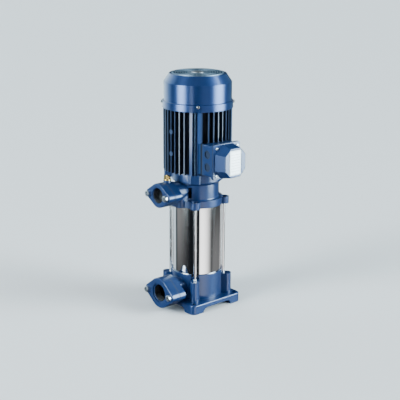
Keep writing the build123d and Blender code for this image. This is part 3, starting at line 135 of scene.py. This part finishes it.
# ---------------------------------------------------------------- studio
# A softbox is a lit patch of the world. Its azimuth counts from the camera's, to the right. Its sides
# (left, right) and ends (low, high) fade inwards over the softness of each. All of these are in degrees.
Softbox = namedtuple("Softbox", "azimuth elevation soft_sides soft_ends strength colour")
SOFTBOXES = [
    # left key
    Softbox((-76, -36), (-15.5, 42), (14, 15), (1.2, 1.2), 21.0, (0.76, 0.94, 1.0)),
    # right key
    Softbox((50, 104), (-15.5, 42), (20, 20), (1.2, 1.2), 23.0, (0.72, 0.93, 1.0)),
    # narrow strip that lights the left rib
    Softbox((-28, -15), (-13.4, -9.7), (4, 4), (0.9, 0.9), 14.0, (0.85, 0.95, 1.0)),
    # left rim
    Softbox((-178, -116), (-30, 60), (12, 8), (10, 10), 1.1, (0.75, 0.9, 1.0)),
    # left rim, above the sleeve
    Softbox((-170, -96), (-15.5, 60), (14, 12), (1.2, 10), 1.6, (0.55, 0.85, 1.0)),
    # right rim
    Softbox((112, 165), (-15.5, 60), (14, 14), (1.2, 10), 0.3, (0.4, 0.75, 1.0)),
    # white card, low on the right of the camera
    Softbox((9, 78), (-40, -15), (7, 54), (1.5, 1.5), 3.0, (1.0, 1.0, 1.0)),
    # grey card on the left
    Softbox((-112, -28), (-23.5, -15), (5, 70), (8, 0.5), 0.29, (1.0, 1.0, 1.0)),
    # grey card on the right
    Softbox((70, 180), (-40, -14), (12, 12), (6, 6), 0.21, (1.0, 1.0, 1.0)),
    # overhead
    Softbox((-200, 200), (55, 95), (5, 5), (12, 12), 0.5, (0.97, 0.99, 1.0)),
]
FILL = (0.012, 0.014, 0.018)  # faint light from every direction
BACKDROP = (1.26, 1.44, 1.58)  # what the camera sees past the floor's edge

TOP_LIGHT_AZIMUTH = 20
TOP_LIGHT_ELEVATION = 62
TOP_LIGHT_DISTANCE = 2.6
TOP_LIGHT_SIDE = 1.8
TOP_LIGHT_POWER = 14
TOP_LIGHT_COLOUR = (1.0, 0.99, 0.97)
TOP_LIGHT_TARGET = Vector((0, 0, 0.35))

FLOOR_REACH = 30.0
FLOOR_COLOUR = (0.86, 0.82, 0.82)
FLOOR_ROUGHNESS = 0.75
FLOOR_SPECULAR = 0.2


def window(tree, value, limits, softness):
    """1 between the limits and 0 outside them, with edges that fade inwards over the softness of each."""
    low, high = limits
    soft_low, soft_high = softness
    rise = ramp(tree, value, low, low + soft_low)
    fall = ramp(tree, value, high - soft_high, high, 1.0, 0.0)
    return product(tree, rise, fall)


def softbox_light(tree, softbox, azimuth, elevation):
    """Light of one softbox in the direction of an azimuth and elevation."""
    across = window(tree, azimuth, softbox.azimuth, softbox.soft_sides)
    upright = window(tree, elevation, softbox.elevation, softbox.soft_ends)
    light = tree.nodes.new("ShaderNodeVectorMath")
    light.operation = "SCALE"
    light.inputs[0].default_value = [part * softbox.strength for part in softbox.colour]
    tree.links.new(product(tree, across, upright), light.inputs["Scale"])
    return light.outputs[0]


def add_world():
    """World with the softboxes for what they light, and a plain backdrop for the camera."""
    world = bpy.data.worlds.new("studio")
    bpy.context.scene.world = world
    world.use_nodes = True
    tree = world.node_tree
    tree.nodes.clear()
    x, y, z = axes(tree, "Generated")
    sine = math.sin(math.radians(CAMERA_AZIMUTH))
    cosine = math.cos(math.radians(CAMERA_AZIMUTH))
    to_front = math_node(tree, "SUBTRACT", product(tree, x, sine), product(tree, y, cosine))
    to_right = math_node(tree, "ADD", product(tree, x, cosine), product(tree, y, sine))
    azimuth = math_node(tree, "DEGREES", math_node(tree, "ARCTAN2", to_right, to_front))
    elevation = math_node(tree, "DEGREES", math_node(tree, "ARCSINE", z))
    total = FILL
    for softbox in SOFTBOXES:
        add = tree.nodes.new("ShaderNodeVectorMath")
        add.operation = "ADD"
        feed(tree, add.inputs[0], total)
        feed(tree, add.inputs[1], softbox_light(tree, softbox, azimuth, elevation))
        total = add.outputs[0]
    studio = tree.nodes.new("ShaderNodeBackground")
    tree.links.new(total, studio.inputs["Color"])
    plain = tree.nodes.new("ShaderNodeBackground")
    plain.inputs["Color"].default_value = (*BACKDROP, 1.0)
    paths = tree.nodes.new("ShaderNodeLightPath")
    choose = tree.nodes.new("ShaderNodeMixShader")
    tree.links.new(paths.outputs["Is Camera Ray"], choose.inputs[0])
    tree.links.new(studio.outputs[0], choose.inputs[1])
    tree.links.new(plain.outputs[0], choose.inputs[2])
    out = tree.nodes.new("ShaderNodeOutputWorld")
    tree.links.new(choose.outputs[0], out.inputs["Surface"])


def add_top_light():
    """Soft light from above that no glossy surface shows."""
    direction = direction_to(TOP_LIGHT_AZIMUTH, TOP_LIGHT_ELEVATION)
    data = bpy.data.lights.new("top_light", "AREA")
    data.shape = "SQUARE"
    data.size = TOP_LIGHT_SIDE
    data.energy = TOP_LIGHT_POWER
    data.color = TOP_LIGHT_COLOUR
    lamp = bpy.data.objects.new("top_light", data)
    bpy.context.scene.collection.objects.link(lamp)
    lamp.location = TOP_LIGHT_TARGET + direction * TOP_LIGHT_DISTANCE
    lamp.rotation_euler = direction.to_track_quat("Z", "Y").to_euler()
    lamp.visible_glossy = False


def add_floor():
    """Plain pale floor that no glossy surface shows."""
    mesh = bpy.data.meshes.new("floor")
    corners = [(FLOOR_REACH * x, FLOOR_REACH * y, 0) for x, y in ((-1, -1), (1, -1), (1, 1), (-1, 1))]
    mesh.from_pydata(corners, [], [(0, 1, 2, 3)])
    floor = bpy.data.objects.new("floor", mesh)
    bpy.context.scene.collection.objects.link(floor)
    material = bpy.data.materials.new("floor")
    material.use_nodes = True
    shader = material.node_tree.nodes["Principled BSDF"]
    shader.inputs["Base Color"].default_value = (*FLOOR_COLOUR, 1.0)
    shader.inputs["Roughness"].default_value = FLOOR_ROUGHNESS
    shader.inputs["Specular IOR Level"].default_value = FLOOR_SPECULAR
    mesh.materials.append(material)
    floor.visible_glossy = False


# ---------------------------------------------------------------- materials
COAT_IOR = 1.5
PAINT_COAT_WEIGHT = 0.75
PATCH_SCALE = 14.0  # of the paint's change of colour
SHEEN_SCALE = 30.0  # of the paint's change of roughness
ROUNDING_SAMPLES = 4
PAINT_DETAIL = 3.0
PAINT_BUMP_STRENGTH = 0.5
GRAIN_DETAIL = 5.0
BUMP_STRENGTH = 0.4

FIN_ROUGHNESS = (0.75, 0.36)  # down between the fins, and on the corner ribs
FIN_COAT_ROUGHNESS = 0.08
FIN_GRAIN = 320.0
FIN_GRAIN_DEPTH = 0.0001
TIP_FADE = (0.0016, 0.0005)  # below the tips: where the gloss and the paint's own colour begin over the painted shade, and where they are full
TIP_SHARE = 0.5  # gloss and colour of the tips, as a share of the corner ribs' own; the rest is painted shade
DIAGONAL_FADE = (0.935, 0.955)  # nearness to a diagonal: where a corner rib, free of painted shade, begins, and where it is full

materials = {}  # every material of the pump, by name


def new_material(name):
    """Material with a plain shader, kept under its name."""
    material = bpy.data.materials.new(name)
    material.use_nodes = True
    materials[name] = material
    return material.node_tree, material.node_tree.nodes["Principled BSDF"]


def object_noise(tree, scale, detail=4.0, stretch=(1, 1, 1)):
    """Noise from 0 to 1 that stays with the piece; scale counts its lumps in a metre."""
    coordinates = tree.nodes.new("ShaderNodeTexCoord")
    mapping = tree.nodes.new("ShaderNodeMapping")
    mapping.inputs["Scale"].default_value = stretch
    noise = tree.nodes.new("ShaderNodeTexNoise")
    noise.inputs["Scale"].default_value = scale
    noise.inputs["Detail"].default_value = detail
    tree.links.new(coordinates.outputs["Object"], mapping.inputs["Vector"])
    tree.links.new(mapping.outputs[0], noise.inputs["Vector"])
    return noise.outputs["Fac"]


def vary_colour(tree, shader, share, dark, light, low=0.35, high=0.65):
    """Base colour from dark, where the share is at low, to light, where it is at high."""
    colours = tree.nodes.new("ShaderNodeValToRGB")
    first, last = colours.color_ramp.elements
    first.position = low
    first.color = (*dark, 1)
    last.position = high
    last.color = (*light, 1)
    tree.links.new(share, colours.inputs[0])
    tree.links.new(colours.outputs[0], shader.inputs["Base Color"])


def vary_roughness(tree, shader, share, roughness):
    """Roughness from the first value, where the share is 0, to the second, where it is 1."""
    spread = tree.nodes.new("ShaderNodeMapRange")
    tree.links.new(share, spread.inputs["Value"])
    spread.inputs["To Min"].default_value = roughness[0]
    spread.inputs["To Max"].default_value = roughness[1]
    tree.links.new(spread.outputs["Result"], shader.inputs["Roughness"])


def add_bump(tree, shader, height, strength, distance):
    """Fine relief of a height from 0 to 1 over a distance in metres."""
    bump = tree.nodes.new("ShaderNodeBump")
    bump.inputs["Strength"].default_value = strength
    bump.inputs["Distance"].default_value = distance
    tree.links.new(height, bump.inputs["Height"])
    tree.links.new(bump.outputs[0], shader.inputs["Normal"])
    return bump


def paint(name, dark, light, grain, grain_depth, roughness, edge, lustre, coat_roughness):
    """Gloss enamel over a casting or sheet, with a fine orange-peel and softly rounded edges."""
    tree, shader = new_material(name)
    vary_colour(tree, shader, object_noise(tree, PATCH_SCALE), dark, light)
    vary_roughness(tree, shader, object_noise(tree, SHEEN_SCALE), roughness)
    peel = object_noise(tree, grain, PAINT_DETAIL)
    bump = add_bump(tree, shader, peel, PAINT_BUMP_STRENGTH, grain_depth)
    rounding = tree.nodes.new("ShaderNodeBevel")
    rounding.samples = ROUNDING_SAMPLES
    rounding.inputs["Radius"].default_value = edge
    tree.links.new(rounding.outputs[0], bump.inputs["Normal"])
    tree.links.new(bump.outputs[0], shader.inputs["Coat Normal"])
    shader.inputs["Metallic"].default_value = lustre
    shader.inputs["Coat Weight"].default_value = PAINT_COAT_WEIGHT
    shader.inputs["Coat Roughness"].default_value = coat_roughness
    shader.inputs["Coat IOR"].default_value = COAT_IOR


def fin_paint_and_painted_shade(name, painted_shade_colour, rib_colour):
    """Paint of the finned frame: glossy and in its own colour on its corner ribs and tips; between the
    fins a painted shade, near black and dull.
    """
    tree, shader = new_material(name)
    x, y, _ = axes(tree, "Object")
    radius_squared = math_node(tree, "ADD", product(tree, x, x), product(tree, y, y))
    radius = math_node(tree, "SQRT", radius_squared)
    tip_r = Extent("motor_frame").high.y
    fade_from, fade_to = (tip_r - below for below in TIP_FADE)
    on_tip = product(tree, ramp(tree, radius, fade_from, fade_to), TIP_SHARE)
    across = math_node(tree, "ABSOLUTE", product(tree, product(tree, x, y), 2.0))
    nearness = math_node(tree, "DIVIDE", across, radius_squared)
    share = math_node(tree, "MAXIMUM", on_tip, ramp(tree, nearness, *DIAGONAL_FADE))
    # Colour runs from the painted shade between the fins to the paint's own colour on the ribs and tips.
    vary_colour(tree, shader, share, painted_shade_colour, rib_colour, 0.0, 1.0)
    vary_roughness(tree, shader, share, FIN_ROUGHNESS)
    tree.links.new(share, shader.inputs["Coat Weight"])
    shader.inputs["Coat Roughness"].default_value = FIN_COAT_ROUGHNESS
    shader.inputs["Coat IOR"].default_value = COAT_IOR
    noise = object_noise(tree, FIN_GRAIN, PAINT_DETAIL)
    add_bump(tree, shader, noise, PAINT_BUMP_STRENGTH, FIN_GRAIN_DEPTH)


def metal(name, dark, light, roughness, scale=60.0, stretch=(1, 1, 1), bump=0.0):
    """Bare metal with a grain; a stretch under 1 draws it out along an axis, and one over 1 packs it."""
    tree, shader = new_material(name)
    shader.inputs["Metallic"].default_value = 1.0
    noise = object_noise(tree, scale, GRAIN_DETAIL, stretch)
    vary_colour(tree, shader, noise, dark, light)
    vary_roughness(tree, shader, noise, roughness)
    if bump:
        add_bump(tree, shader, noise, BUMP_STRENGTH, bump)


def plain_matter(name, dark, light, roughness, scale=80.0, bump=0.00005):
    """Rubber, plastic, carbon, print, or dark matter that stands for painted shade, with a fine grain."""
    tree, shader = new_material(name)
    noise = object_noise(tree, scale, GRAIN_DETAIL)
    vary_colour(tree, shader, noise, dark, light)
    vary_roughness(tree, shader, noise, roughness)
    add_bump(tree, shader, noise, BUMP_STRENGTH, bump)


def make_materials():
    """One material for each slot of the record, and those that FINER and the added pieces name."""
    along_z = (1, 1, 0.1)
    paint(
        "painted_casting", dark=(0.0075, 0.029, 0.110), light=(0.009, 0.034, 0.126), grain=320.0,
        grain_depth=0.00010, roughness=(0.34, 0.44), edge=0.0009, lustre=0.35, coat_roughness=0.08,
    )
    paint(
        "painted_sheet", dark=(0.013, 0.041, 0.150), light=(0.0145, 0.046, 0.165), grain=500.0,
        grain_depth=0.00002, roughness=(0.26, 0.32), edge=0.0006, lustre=0.7, coat_roughness=0.20,
    )
    # Frame paint with painted shade: near black between the fins, its own blue on the ribs and tips.
    fin_paint_and_painted_shade("fin_paint_and_painted_shade", painted_shade_colour=(0.003, 0.007, 0.018), rib_colour=(0.014, 0.048, 0.15))
    metal("polished_sleeve", (0.80, 0.80, 0.80), (0.86, 0.86, 0.86), (0.05, 0.08), 40.0, along_z)
    metal("bright_rod", (0.82, 0.82, 0.83), (0.9, 0.9, 0.91), (0.08, 0.14), 60.0, along_z)
    metal("stainless", (0.52, 0.52, 0.53), (0.62, 0.62, 0.63), (0.25, 0.4))
    metal("zinc_steel", (0.66, 0.68, 0.72), (0.76, 0.77, 0.80), (0.24, 0.34), 90.0)
    metal("dull_bolt", (0.07, 0.11, 0.17), (0.12, 0.17, 0.25), (0.42, 0.55), 120.0)
    metal("grille", (0.16, 0.23, 0.31), (0.24, 0.31, 0.40), (0.40, 0.52), 150.0)
    # Bare iron, darker than real: partly painted shade inside the ports.
    metal("bore_iron_and_painted_shade", (0.07, 0.07, 0.075), (0.13, 0.13, 0.14), (0.45, 0.6), 160.0)
    metal("steel", (0.45, 0.45, 0.47), (0.58, 0.58, 0.6), (0.18, 0.3), 120.0)
    metal("lamination", (0.2, 0.2, 0.21), (0.33, 0.33, 0.34), (0.35, 0.5), 30.0, (1, 1, 40))
    metal("copper", (0.45, 0.16, 0.05), (0.62, 0.25, 0.09), (0.3, 0.45), 160.0, bump=0.0002)
    metal("brass", (0.62, 0.42, 0.13), (0.80, 0.58, 0.22), (0.18, 0.32), 150.0, bump=0.00003)
    metal("cast_aluminium", (0.55, 0.56, 0.57), (0.68, 0.69, 0.7), (0.35, 0.5), 200.0)
    metal("rating_plate", (0.58, 0.59, 0.61), (0.68, 0.69, 0.71), (0.3, 0.42), 40.0, (1, 1, 0.05))
    # Darker copy of the blue paint: painted shade on the entry plugs sunk in their recesses.
    plain_matter("plug_paint_painted_shade", (0.004, 0.012, 0.038), (0.006, 0.017, 0.05), (0.45, 0.6))
    plain_matter("gasket", (0.02, 0.02, 0.022), (0.035, 0.035, 0.037), (0.6, 0.8))
    plain_matter("seal_rubber", (0.01, 0.01, 0.011), (0.02, 0.02, 0.021), (0.5, 0.7))
    plain_matter("carbon", (0.015, 0.015, 0.016), (0.03, 0.03, 0.032), (0.3, 0.5))
    plain_matter("moulded_plastic", (0.018, 0.018, 0.02), (0.03, 0.03, 0.033), (0.4, 0.5))
    # Near black: painted shade in the screws' cross recesses, and the print on the rating plate.
    plain_matter("recess_shade_and_print", (0.008, 0.008, 0.009), (0.015, 0.015, 0.016), (0.5, 0.7))


# Nodes whose look differs a little from the rest of their slot
FINER = {
    # The frame's paint carries painted shade between its fins.
    "motor_frame": "fin_paint_and_painted_shade",
    "through_bolts": "dull_bolt",
    "fan_grille": "grille",
    # The entry plugs get a darker copy of the blue paint as painted shade.
    "entry_plugs": "plug_paint_painted_shade",
}


def dress_nodes():
    """Give each node of the frame the material of its slot, or its finer one."""
    for entry in frame["record"]["subparts"]:
        piece = nodes[entry["node"]]
        piece.data.materials.clear()
        piece.data.materials.append(materials[FINER.get(entry["node"], entry["material_slot"])])


# ---------------------------------------------------------------- forms
# A shape is a list of points and a list of faces. An origin and a direction for its own Z place it.
HAIR = 0.0001  # keeps a surface just off the one that it covers


class Extent:
    """Lowest and highest corner of a node at rest, with its middle and half its size."""

    def __init__(self, node):
        low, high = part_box(node)
        self.low = Vector(low)
        self.high = Vector(high)
        self.middle = (self.low + self.high) / 2
        self.half = (self.high - self.low) / 2


def add_piece(name, shape, look, body="housing", smooth=True):
    """Piece of one shape and material that rides on a body."""
    points, faces = shape
    mesh = bpy.data.meshes.new(name)
    mesh.from_pydata([tuple(point) for point in points], [], faces)
    mesh.materials.append(materials[look])
    for face in mesh.polygons:
        face.use_smooth = smooth
    mesh.update()
    piece = bpy.data.objects.new(name, mesh)
    bpy.context.scene.collection.objects.link(piece)
    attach(piece, body)


def joined(shapes):
    """One shape out of several."""
    points, faces = [], []
    for more_points, more_faces in shapes:
        start = len(points)
        points += more_points
        faces += [tuple(start + corner for corner in face) for face in more_faces]
    return points, faces


def facing(direction):
    """Turn that takes +Z to a direction."""
    return Vector(direction).to_track_quat("Z", "Y").to_matrix()


def lathe(profile, origin=(0, 0, 0), direction=(0, 0, 1), steps=32):
    """Surface of revolution of (radius, height) points round a direction."""
    turn = facing(direction)
    points = []
    for step in range(steps):
        angle = 2 * math.pi * step / steps
        for radius, height in profile:
            point = Vector((radius * math.cos(angle), radius * math.sin(angle), height))
            points.append(Vector(origin) + turn @ point)
    count = len(profile)
    faces = []
    for step in range(steps):
        here = step * count
        there = (step + 1) % steps * count
        for i in range(count - 1):
            faces.append((here + i, there + i, there + i + 1, here + i + 1))
    return points, faces


def thread(radius, depth, pitch, length, origin, direction, steps=40):
    """Ridge of a screw thread that winds from origin along direction; a negative depth faces inwards."""
    turn = facing(direction)
    turns = length / pitch - 1
    crest = radius + depth
    section = [(radius, 0.0), (crest, pitch * 0.35), (crest, pitch * 0.5), (radius, pitch * 0.85)]
    rows = int(turns * steps)
    points = []
    for row in range(rows + 1):
        angle = 2 * math.pi * row / steps
        rise = pitch * row / steps
        for r, z in section:
            point = Vector((r * math.cos(angle), r * math.sin(angle), z + rise))
            points.append(Vector(origin) + turn @ point)
    count = len(section)
    faces = []
    for row in range(rows):
        here = row * count
        there = here + count
        faces += [(here + i, there + i, there + i + 1, here + i + 1) for i in range(count - 1)]
    return points, faces


# Profile of a pan head from its rim to its crown, as shares of its radius and height
PAN_HEAD = [(1.0, 0.0), (1.0, 0.45), (0.93, 0.75), (0.78, 0.93), (0.55, 1.0), (0.0, 1.02)]


def pan_head(centre, direction, radius, height):
    """Round screw head with rolled edges."""
    return lathe([(radius * r, height * z) for r, z in PAN_HEAD], centre, direction, steps=24)


def cross_recess_shade(centre, direction, reach, width, lift):
    """Four-armed star of painted shade, near black, that stands for the shadowed recess of a cross-head
    screw.
    """
    turn = facing(direction)
    corners = []
    for arm in range(4):
        cosine = math.cos(math.pi / 2 * arm)
        sine = math.sin(math.pi / 2 * arm)
        for x, y in ((reach, -width), (reach, width), (width, width)):
            corners.append((x * cosine - y * sine, x * sine + y * cosine))
    points = [Vector(centre) + turn @ Vector((x, y, lift)) for x, y in corners]
    points.append(Vector(centre) + turn @ Vector((0, 0, lift)))
    count = len(corners)
    faces = [(i, (i + 1) % count, count) for i in range(count)]
    return points, faces


def rounded_loop(half_width, half_height, corner, steps=6):
    """Outline of a rectangle with round corners, about its middle."""
    loop = []
    for quarter, (side, end) in enumerate(((1, 1), (-1, 1), (-1, -1), (1, -1))):
        for step in range(steps + 1):
            angle = math.pi / 2 * (quarter + step / steps)
            across = side * (half_width - corner) + corner * math.cos(angle)
            upright = end * (half_height - corner) + corner * math.sin(angle)
            loop.append((across, upright))
    return loop


def band(x, depth, centre_y, centre_z, outer, inner):
    """Flat frame between two loops in the YZ plane, from x to x + depth."""
    count = len(outer)
    points = []
    for level, loop in ((x, outer), (x + depth, outer), (x + depth, inner), (x, inner)):
        points += [(level, centre_y + y, centre_z + z) for y, z in loop]
    faces = []
    for ring in range(3):
        here = ring * count
        there = here + count
        for i in range(count):
            j = (i + 1) % count
            faces.append((here + i, here + j, there + j, there + i))
    return points, faces


def round_section(radius, height, half_width, half_height, steps=12):
    """Section of a rolled edge, as (radius, height) points round its middle."""
    angles = [2 * math.pi * step / steps - math.pi for step in range(steps + 1)]
    return [(radius + half_width * math.cos(a), height + half_height * math.sin(a)) for a in angles]


# ---------------------------------------------------------------- pieces that the solids leave out
RECESS_REACH = 0.6  # of a screw head's radius
RECESS_WIDTH = 0.12  # of a screw head's radius, to each side
RECESS_LIFT = 1.06  # of a screw head's height


def add_cross_heads(name, spots, radius, height):
    """Pan heads at spots of (centre, direction), each with a star of painted shade for its cross recess.
    """
    heads = [pan_head(centre, way, radius, height) for centre, way in spots]
    add_piece(name + "_heads", joined(heads), "zinc_steel")
    reach, width, lift = radius * RECESS_REACH, radius * RECESS_WIDTH, height * RECESS_LIFT
    stars = [cross_recess_shade(centre, way, reach, width, lift) for centre, way in spots]
    add_piece(name + "_recess_shades", joined(stars), "recess_shade_and_print", smooth=False)


def add_box_screws():
    """Heads over the plain ones of the terminal box's four screws."""
    screws = Extent("terminal_box_screws")
    plain_r = 0.0036
    head_r = plain_r + 0.0002
    height = 0.0030
    proud = 0.0003
    x = screws.high.x + proud - height
    spots = [
        ((x, y, z), (1, 0, 0))
        for y in (screws.low.y + plain_r, screws.high.y - plain_r)
        for z in (screws.low.z + plain_r, screws.high.z - plain_r)
    ]
    add_cross_heads("box_screw", spots, head_r, height)


def add_cover_screws():
    """Heads over the plain ones of the fan cover's four screws."""
    first_screw = 50  # degrees from +X
    head_r = 0.0040
    height = 0.0037
    reach = Extent("fan_cover").high.x + HAIR
    level = Extent("fan_cover_screws").middle.z
    spots = []
    for quarter in range(4):
        angle = math.radians(first_screw + 90 * quarter)
        way = (math.cos(angle), math.sin(angle), 0.0)
        spots.append(((reach * way[0], reach * way[1], level), way))
    add_cross_heads("cover_screw", spots, head_r, height)


# A port has a plain mouth, then a pipe thread of the minor radius given here, and a passage behind it
# that is lined as far as the Y given.
# The lining is iron darker than bare metal: partly painted shade deep in the port.
Port = namedtuple("Port", "name flange thread_r mouth_depth passage_r passage_end")
PORTS = [
    Port("suction", "suction_counterflange", 0.02242, 0.0036, 0.0228, -0.052),
    Port("discharge", "discharge_counterflange", 0.01948, 0.0016, 0.0168, -0.046),
]
PIPE_PITCH = 0.00231  # 11 threads to the inch
PIPE_RIDGE = 0.0009
GASKET_THICK = 0.0015


def add_port_threads():
    """Machined bore, thread and bare water way behind each port's mouth, in iron darker than bare metal:
    partly painted shade.
    """
    for port in PORTS:
        flange = Extent(port.flange)
        level = flange.middle.z
        joint, face = flange.high.y, flange.low.y
        thick = joint - face
        length = thick - port.mouth_depth
        root_r = port.thread_r + HAIR
        bore_r = port.thread_r - HAIR
        ridge = thread(root_r, -PIPE_RIDGE, PIPE_PITCH, length, (0, joint, level), (0, -1, 0))
        step = thick + GASKET_THICK
        liner = [
            (bore_r, port.mouth_depth),
            (bore_r, step),
            (port.passage_r, step + HAIR),
            (port.passage_r, port.passage_end - face),
        ]
        shapes = [ridge, lathe(liner, (0, face, level), (0, 1, 0), steps=72)]
        add_piece(port.name + "_thread", joined(shapes), "bore_iron_and_painted_shade")


ROD_R = 0.004
ROD_PITCH = 0.00125
ROD_RIDGE = 0.0003
ROD_THREAD_BELOW = 0.030  # length of the thread at a rod's lower end
ROD_THREAD_ABOVE = 0.020  # and at its upper end
ROD_POINT = 0.001  # bare point above the upper thread


def add_rod_threads():
    """Threads on both ends of the four tie rods."""
    rods = Extent("tie_rods")
    offset = rods.high.x - ROD_R
    upper_start = rods.high.z - ROD_THREAD_ABOVE - ROD_POINT
    for x in (-offset, offset):
        for y in (-offset, offset):
            side = ("right" if x > 0 else "left") + ("_back" if y > 0 else "_front")
            shapes = [
                thread(ROD_R - HAIR, ROD_RIDGE, ROD_PITCH, length, (x, y, start), (0, 0, 1), steps=20)
                for length, start in ((ROD_THREAD_BELOW, rods.low.z), (ROD_THREAD_ABOVE, upper_start))
            ]
            add_piece("rod_thread_" + side, joined(shapes), "bright_rod")


def add_box_seal():
    """Seal that shows as a thin line between the terminal box and its cover."""
    thick = 0.0010
    proud = 0.0003
    inset = 0.004
    outer_corner = 0.0045
    inner_corner = 0.003
    box = Extent("terminal_box")
    outer = rounded_loop(box.half.y + proud, box.half.z + proud, outer_corner)
    inner = rounded_loop(box.half.y - inset, box.half.z - inset, inner_corner)
    seal = band(box.high.x - thick / 2, thick, box.middle.y, box.middle.z, outer, inner)
    add_piece("box_seal", seal, "gasket", smooth=False)


RIM_INSETS = (0.0014, 0.0020)  # of the printed rim's outer and inner edge
RIM_CORNERS = (0.0015, 0.0010)
RIM_LIFT = 0.00025
RULE_COUNT = 7
RULES_REACH = 1.35  # from the first rule to the last, as a share of half the plate's height
RULE_LENGTH = 0.78  # of the plate's width
RULE_HALF_THICK = 0.00035
RULE_CORNER = 0.0003
RULE_LIFT = 0.00022
SLIT_HALF_THICK = 0.0001  # of the slit along the middle of a rule
SLIT_INSET = 0.0003  # of the slit from the rule's ends
RIVET_R = 0.0013
RIVET_HEIGHT = 0.0008
RIVET_INSET = 0.0042


def add_plate_details():
    """Printed rim and blank rules of the rating plate, and its two rivets."""
    plate = Extent("rating_plate")
    y, z = plate.middle.y, plate.middle.z
    half_y, half_z = plate.half.y, plate.half.z
    x = plate.high.x - HAIR
    edges = zip(RIM_INSETS, RIM_CORNERS)
    outer, inner = (rounded_loop(half_y - inset, half_z - inset, corner) for inset, corner in edges)
    shapes = [band(x, RIM_LIFT, y, z, outer, inner)]
    half_length = half_y * RULE_LENGTH
    edge = rounded_loop(half_length, RULE_HALF_THICK, RULE_CORNER, steps=2)
    slit = rounded_loop(half_length - SLIT_INSET, SLIT_HALF_THICK, SLIT_HALF_THICK, steps=2)
    for rule in range(RULE_COUNT):
        level = z + (rule / (RULE_COUNT - 1) - 0.5) * half_z * RULES_REACH
        shapes.append(band(x, RULE_LIFT, y, level, edge, slit))
    add_piece("plate_rules", joined(shapes), "recess_shade_and_print", smooth=False)
    reach = half_z - RIVET_INSET
    spots = ((x, y, z - reach), (x, y, z + reach))
    rivets = [pan_head(spot, (1, 0, 0), RIVET_R, RIVET_HEIGHT) for spot in spots]
    add_piece("plate_rivets", joined(rivets), "cast_aluminium")


def add_cover_trim():
    """Rolled edges of the fan cover, at its lip and round its grille, and the dish in the grille."""
    cover = Extent("fan_cover")
    bead_r = 0.0011
    bead_inset = 0.0006
    lip = round_section(cover.high.x - bead_inset, cover.low.z, bead_r, bead_r)
    add_piece("cover_lip_bead", lathe(lip, steps=160), "painted_sheet")
    grille = Extent("fan_grille")
    rim_inset = 0.0012
    rim_sink = 0.0004
    half_width, half_height = 0.0013, 0.0010
    rim = round_section(grille.high.x - rim_inset, grille.high.z - rim_sink, half_width, half_height)
    add_piece("grille_rim", lathe(rim, steps=128), "grille")
    dish = [(0.0165, 0.0), (0.0165, 0.0006), (0.0150, 0.0011), (0.0, 0.0013)]
    middle = (0, 0, grille.high.z - 2 * HAIR)
    add_piece("grille_hub", lathe(dish, middle, steps=64), "zinc_steel")


def add_vent_screw():
    """Small vent screw in the middle of the priming plug, which it rides on."""
    plug = Extent("priming_plug")
    top = (plug.middle.x, plug.middle.y, plug.high.z)
    profile = [(0.0030, -0.0003), (0.0030, 0.0010), (0.0024, 0.0016), (0.0, 0.0018)]
    add_piece("vent_screw", lathe(profile, top, steps=24), "brass", body="priming_plug")


add_camera()
add_world()
add_floor()
add_top_light()
make_materials()
dress_nodes()
add_box_screws()
add_cover_screws()
add_port_threads()
add_rod_threads()
add_box_seal()
add_plate_details()
add_cover_trim()
add_vent_screw()
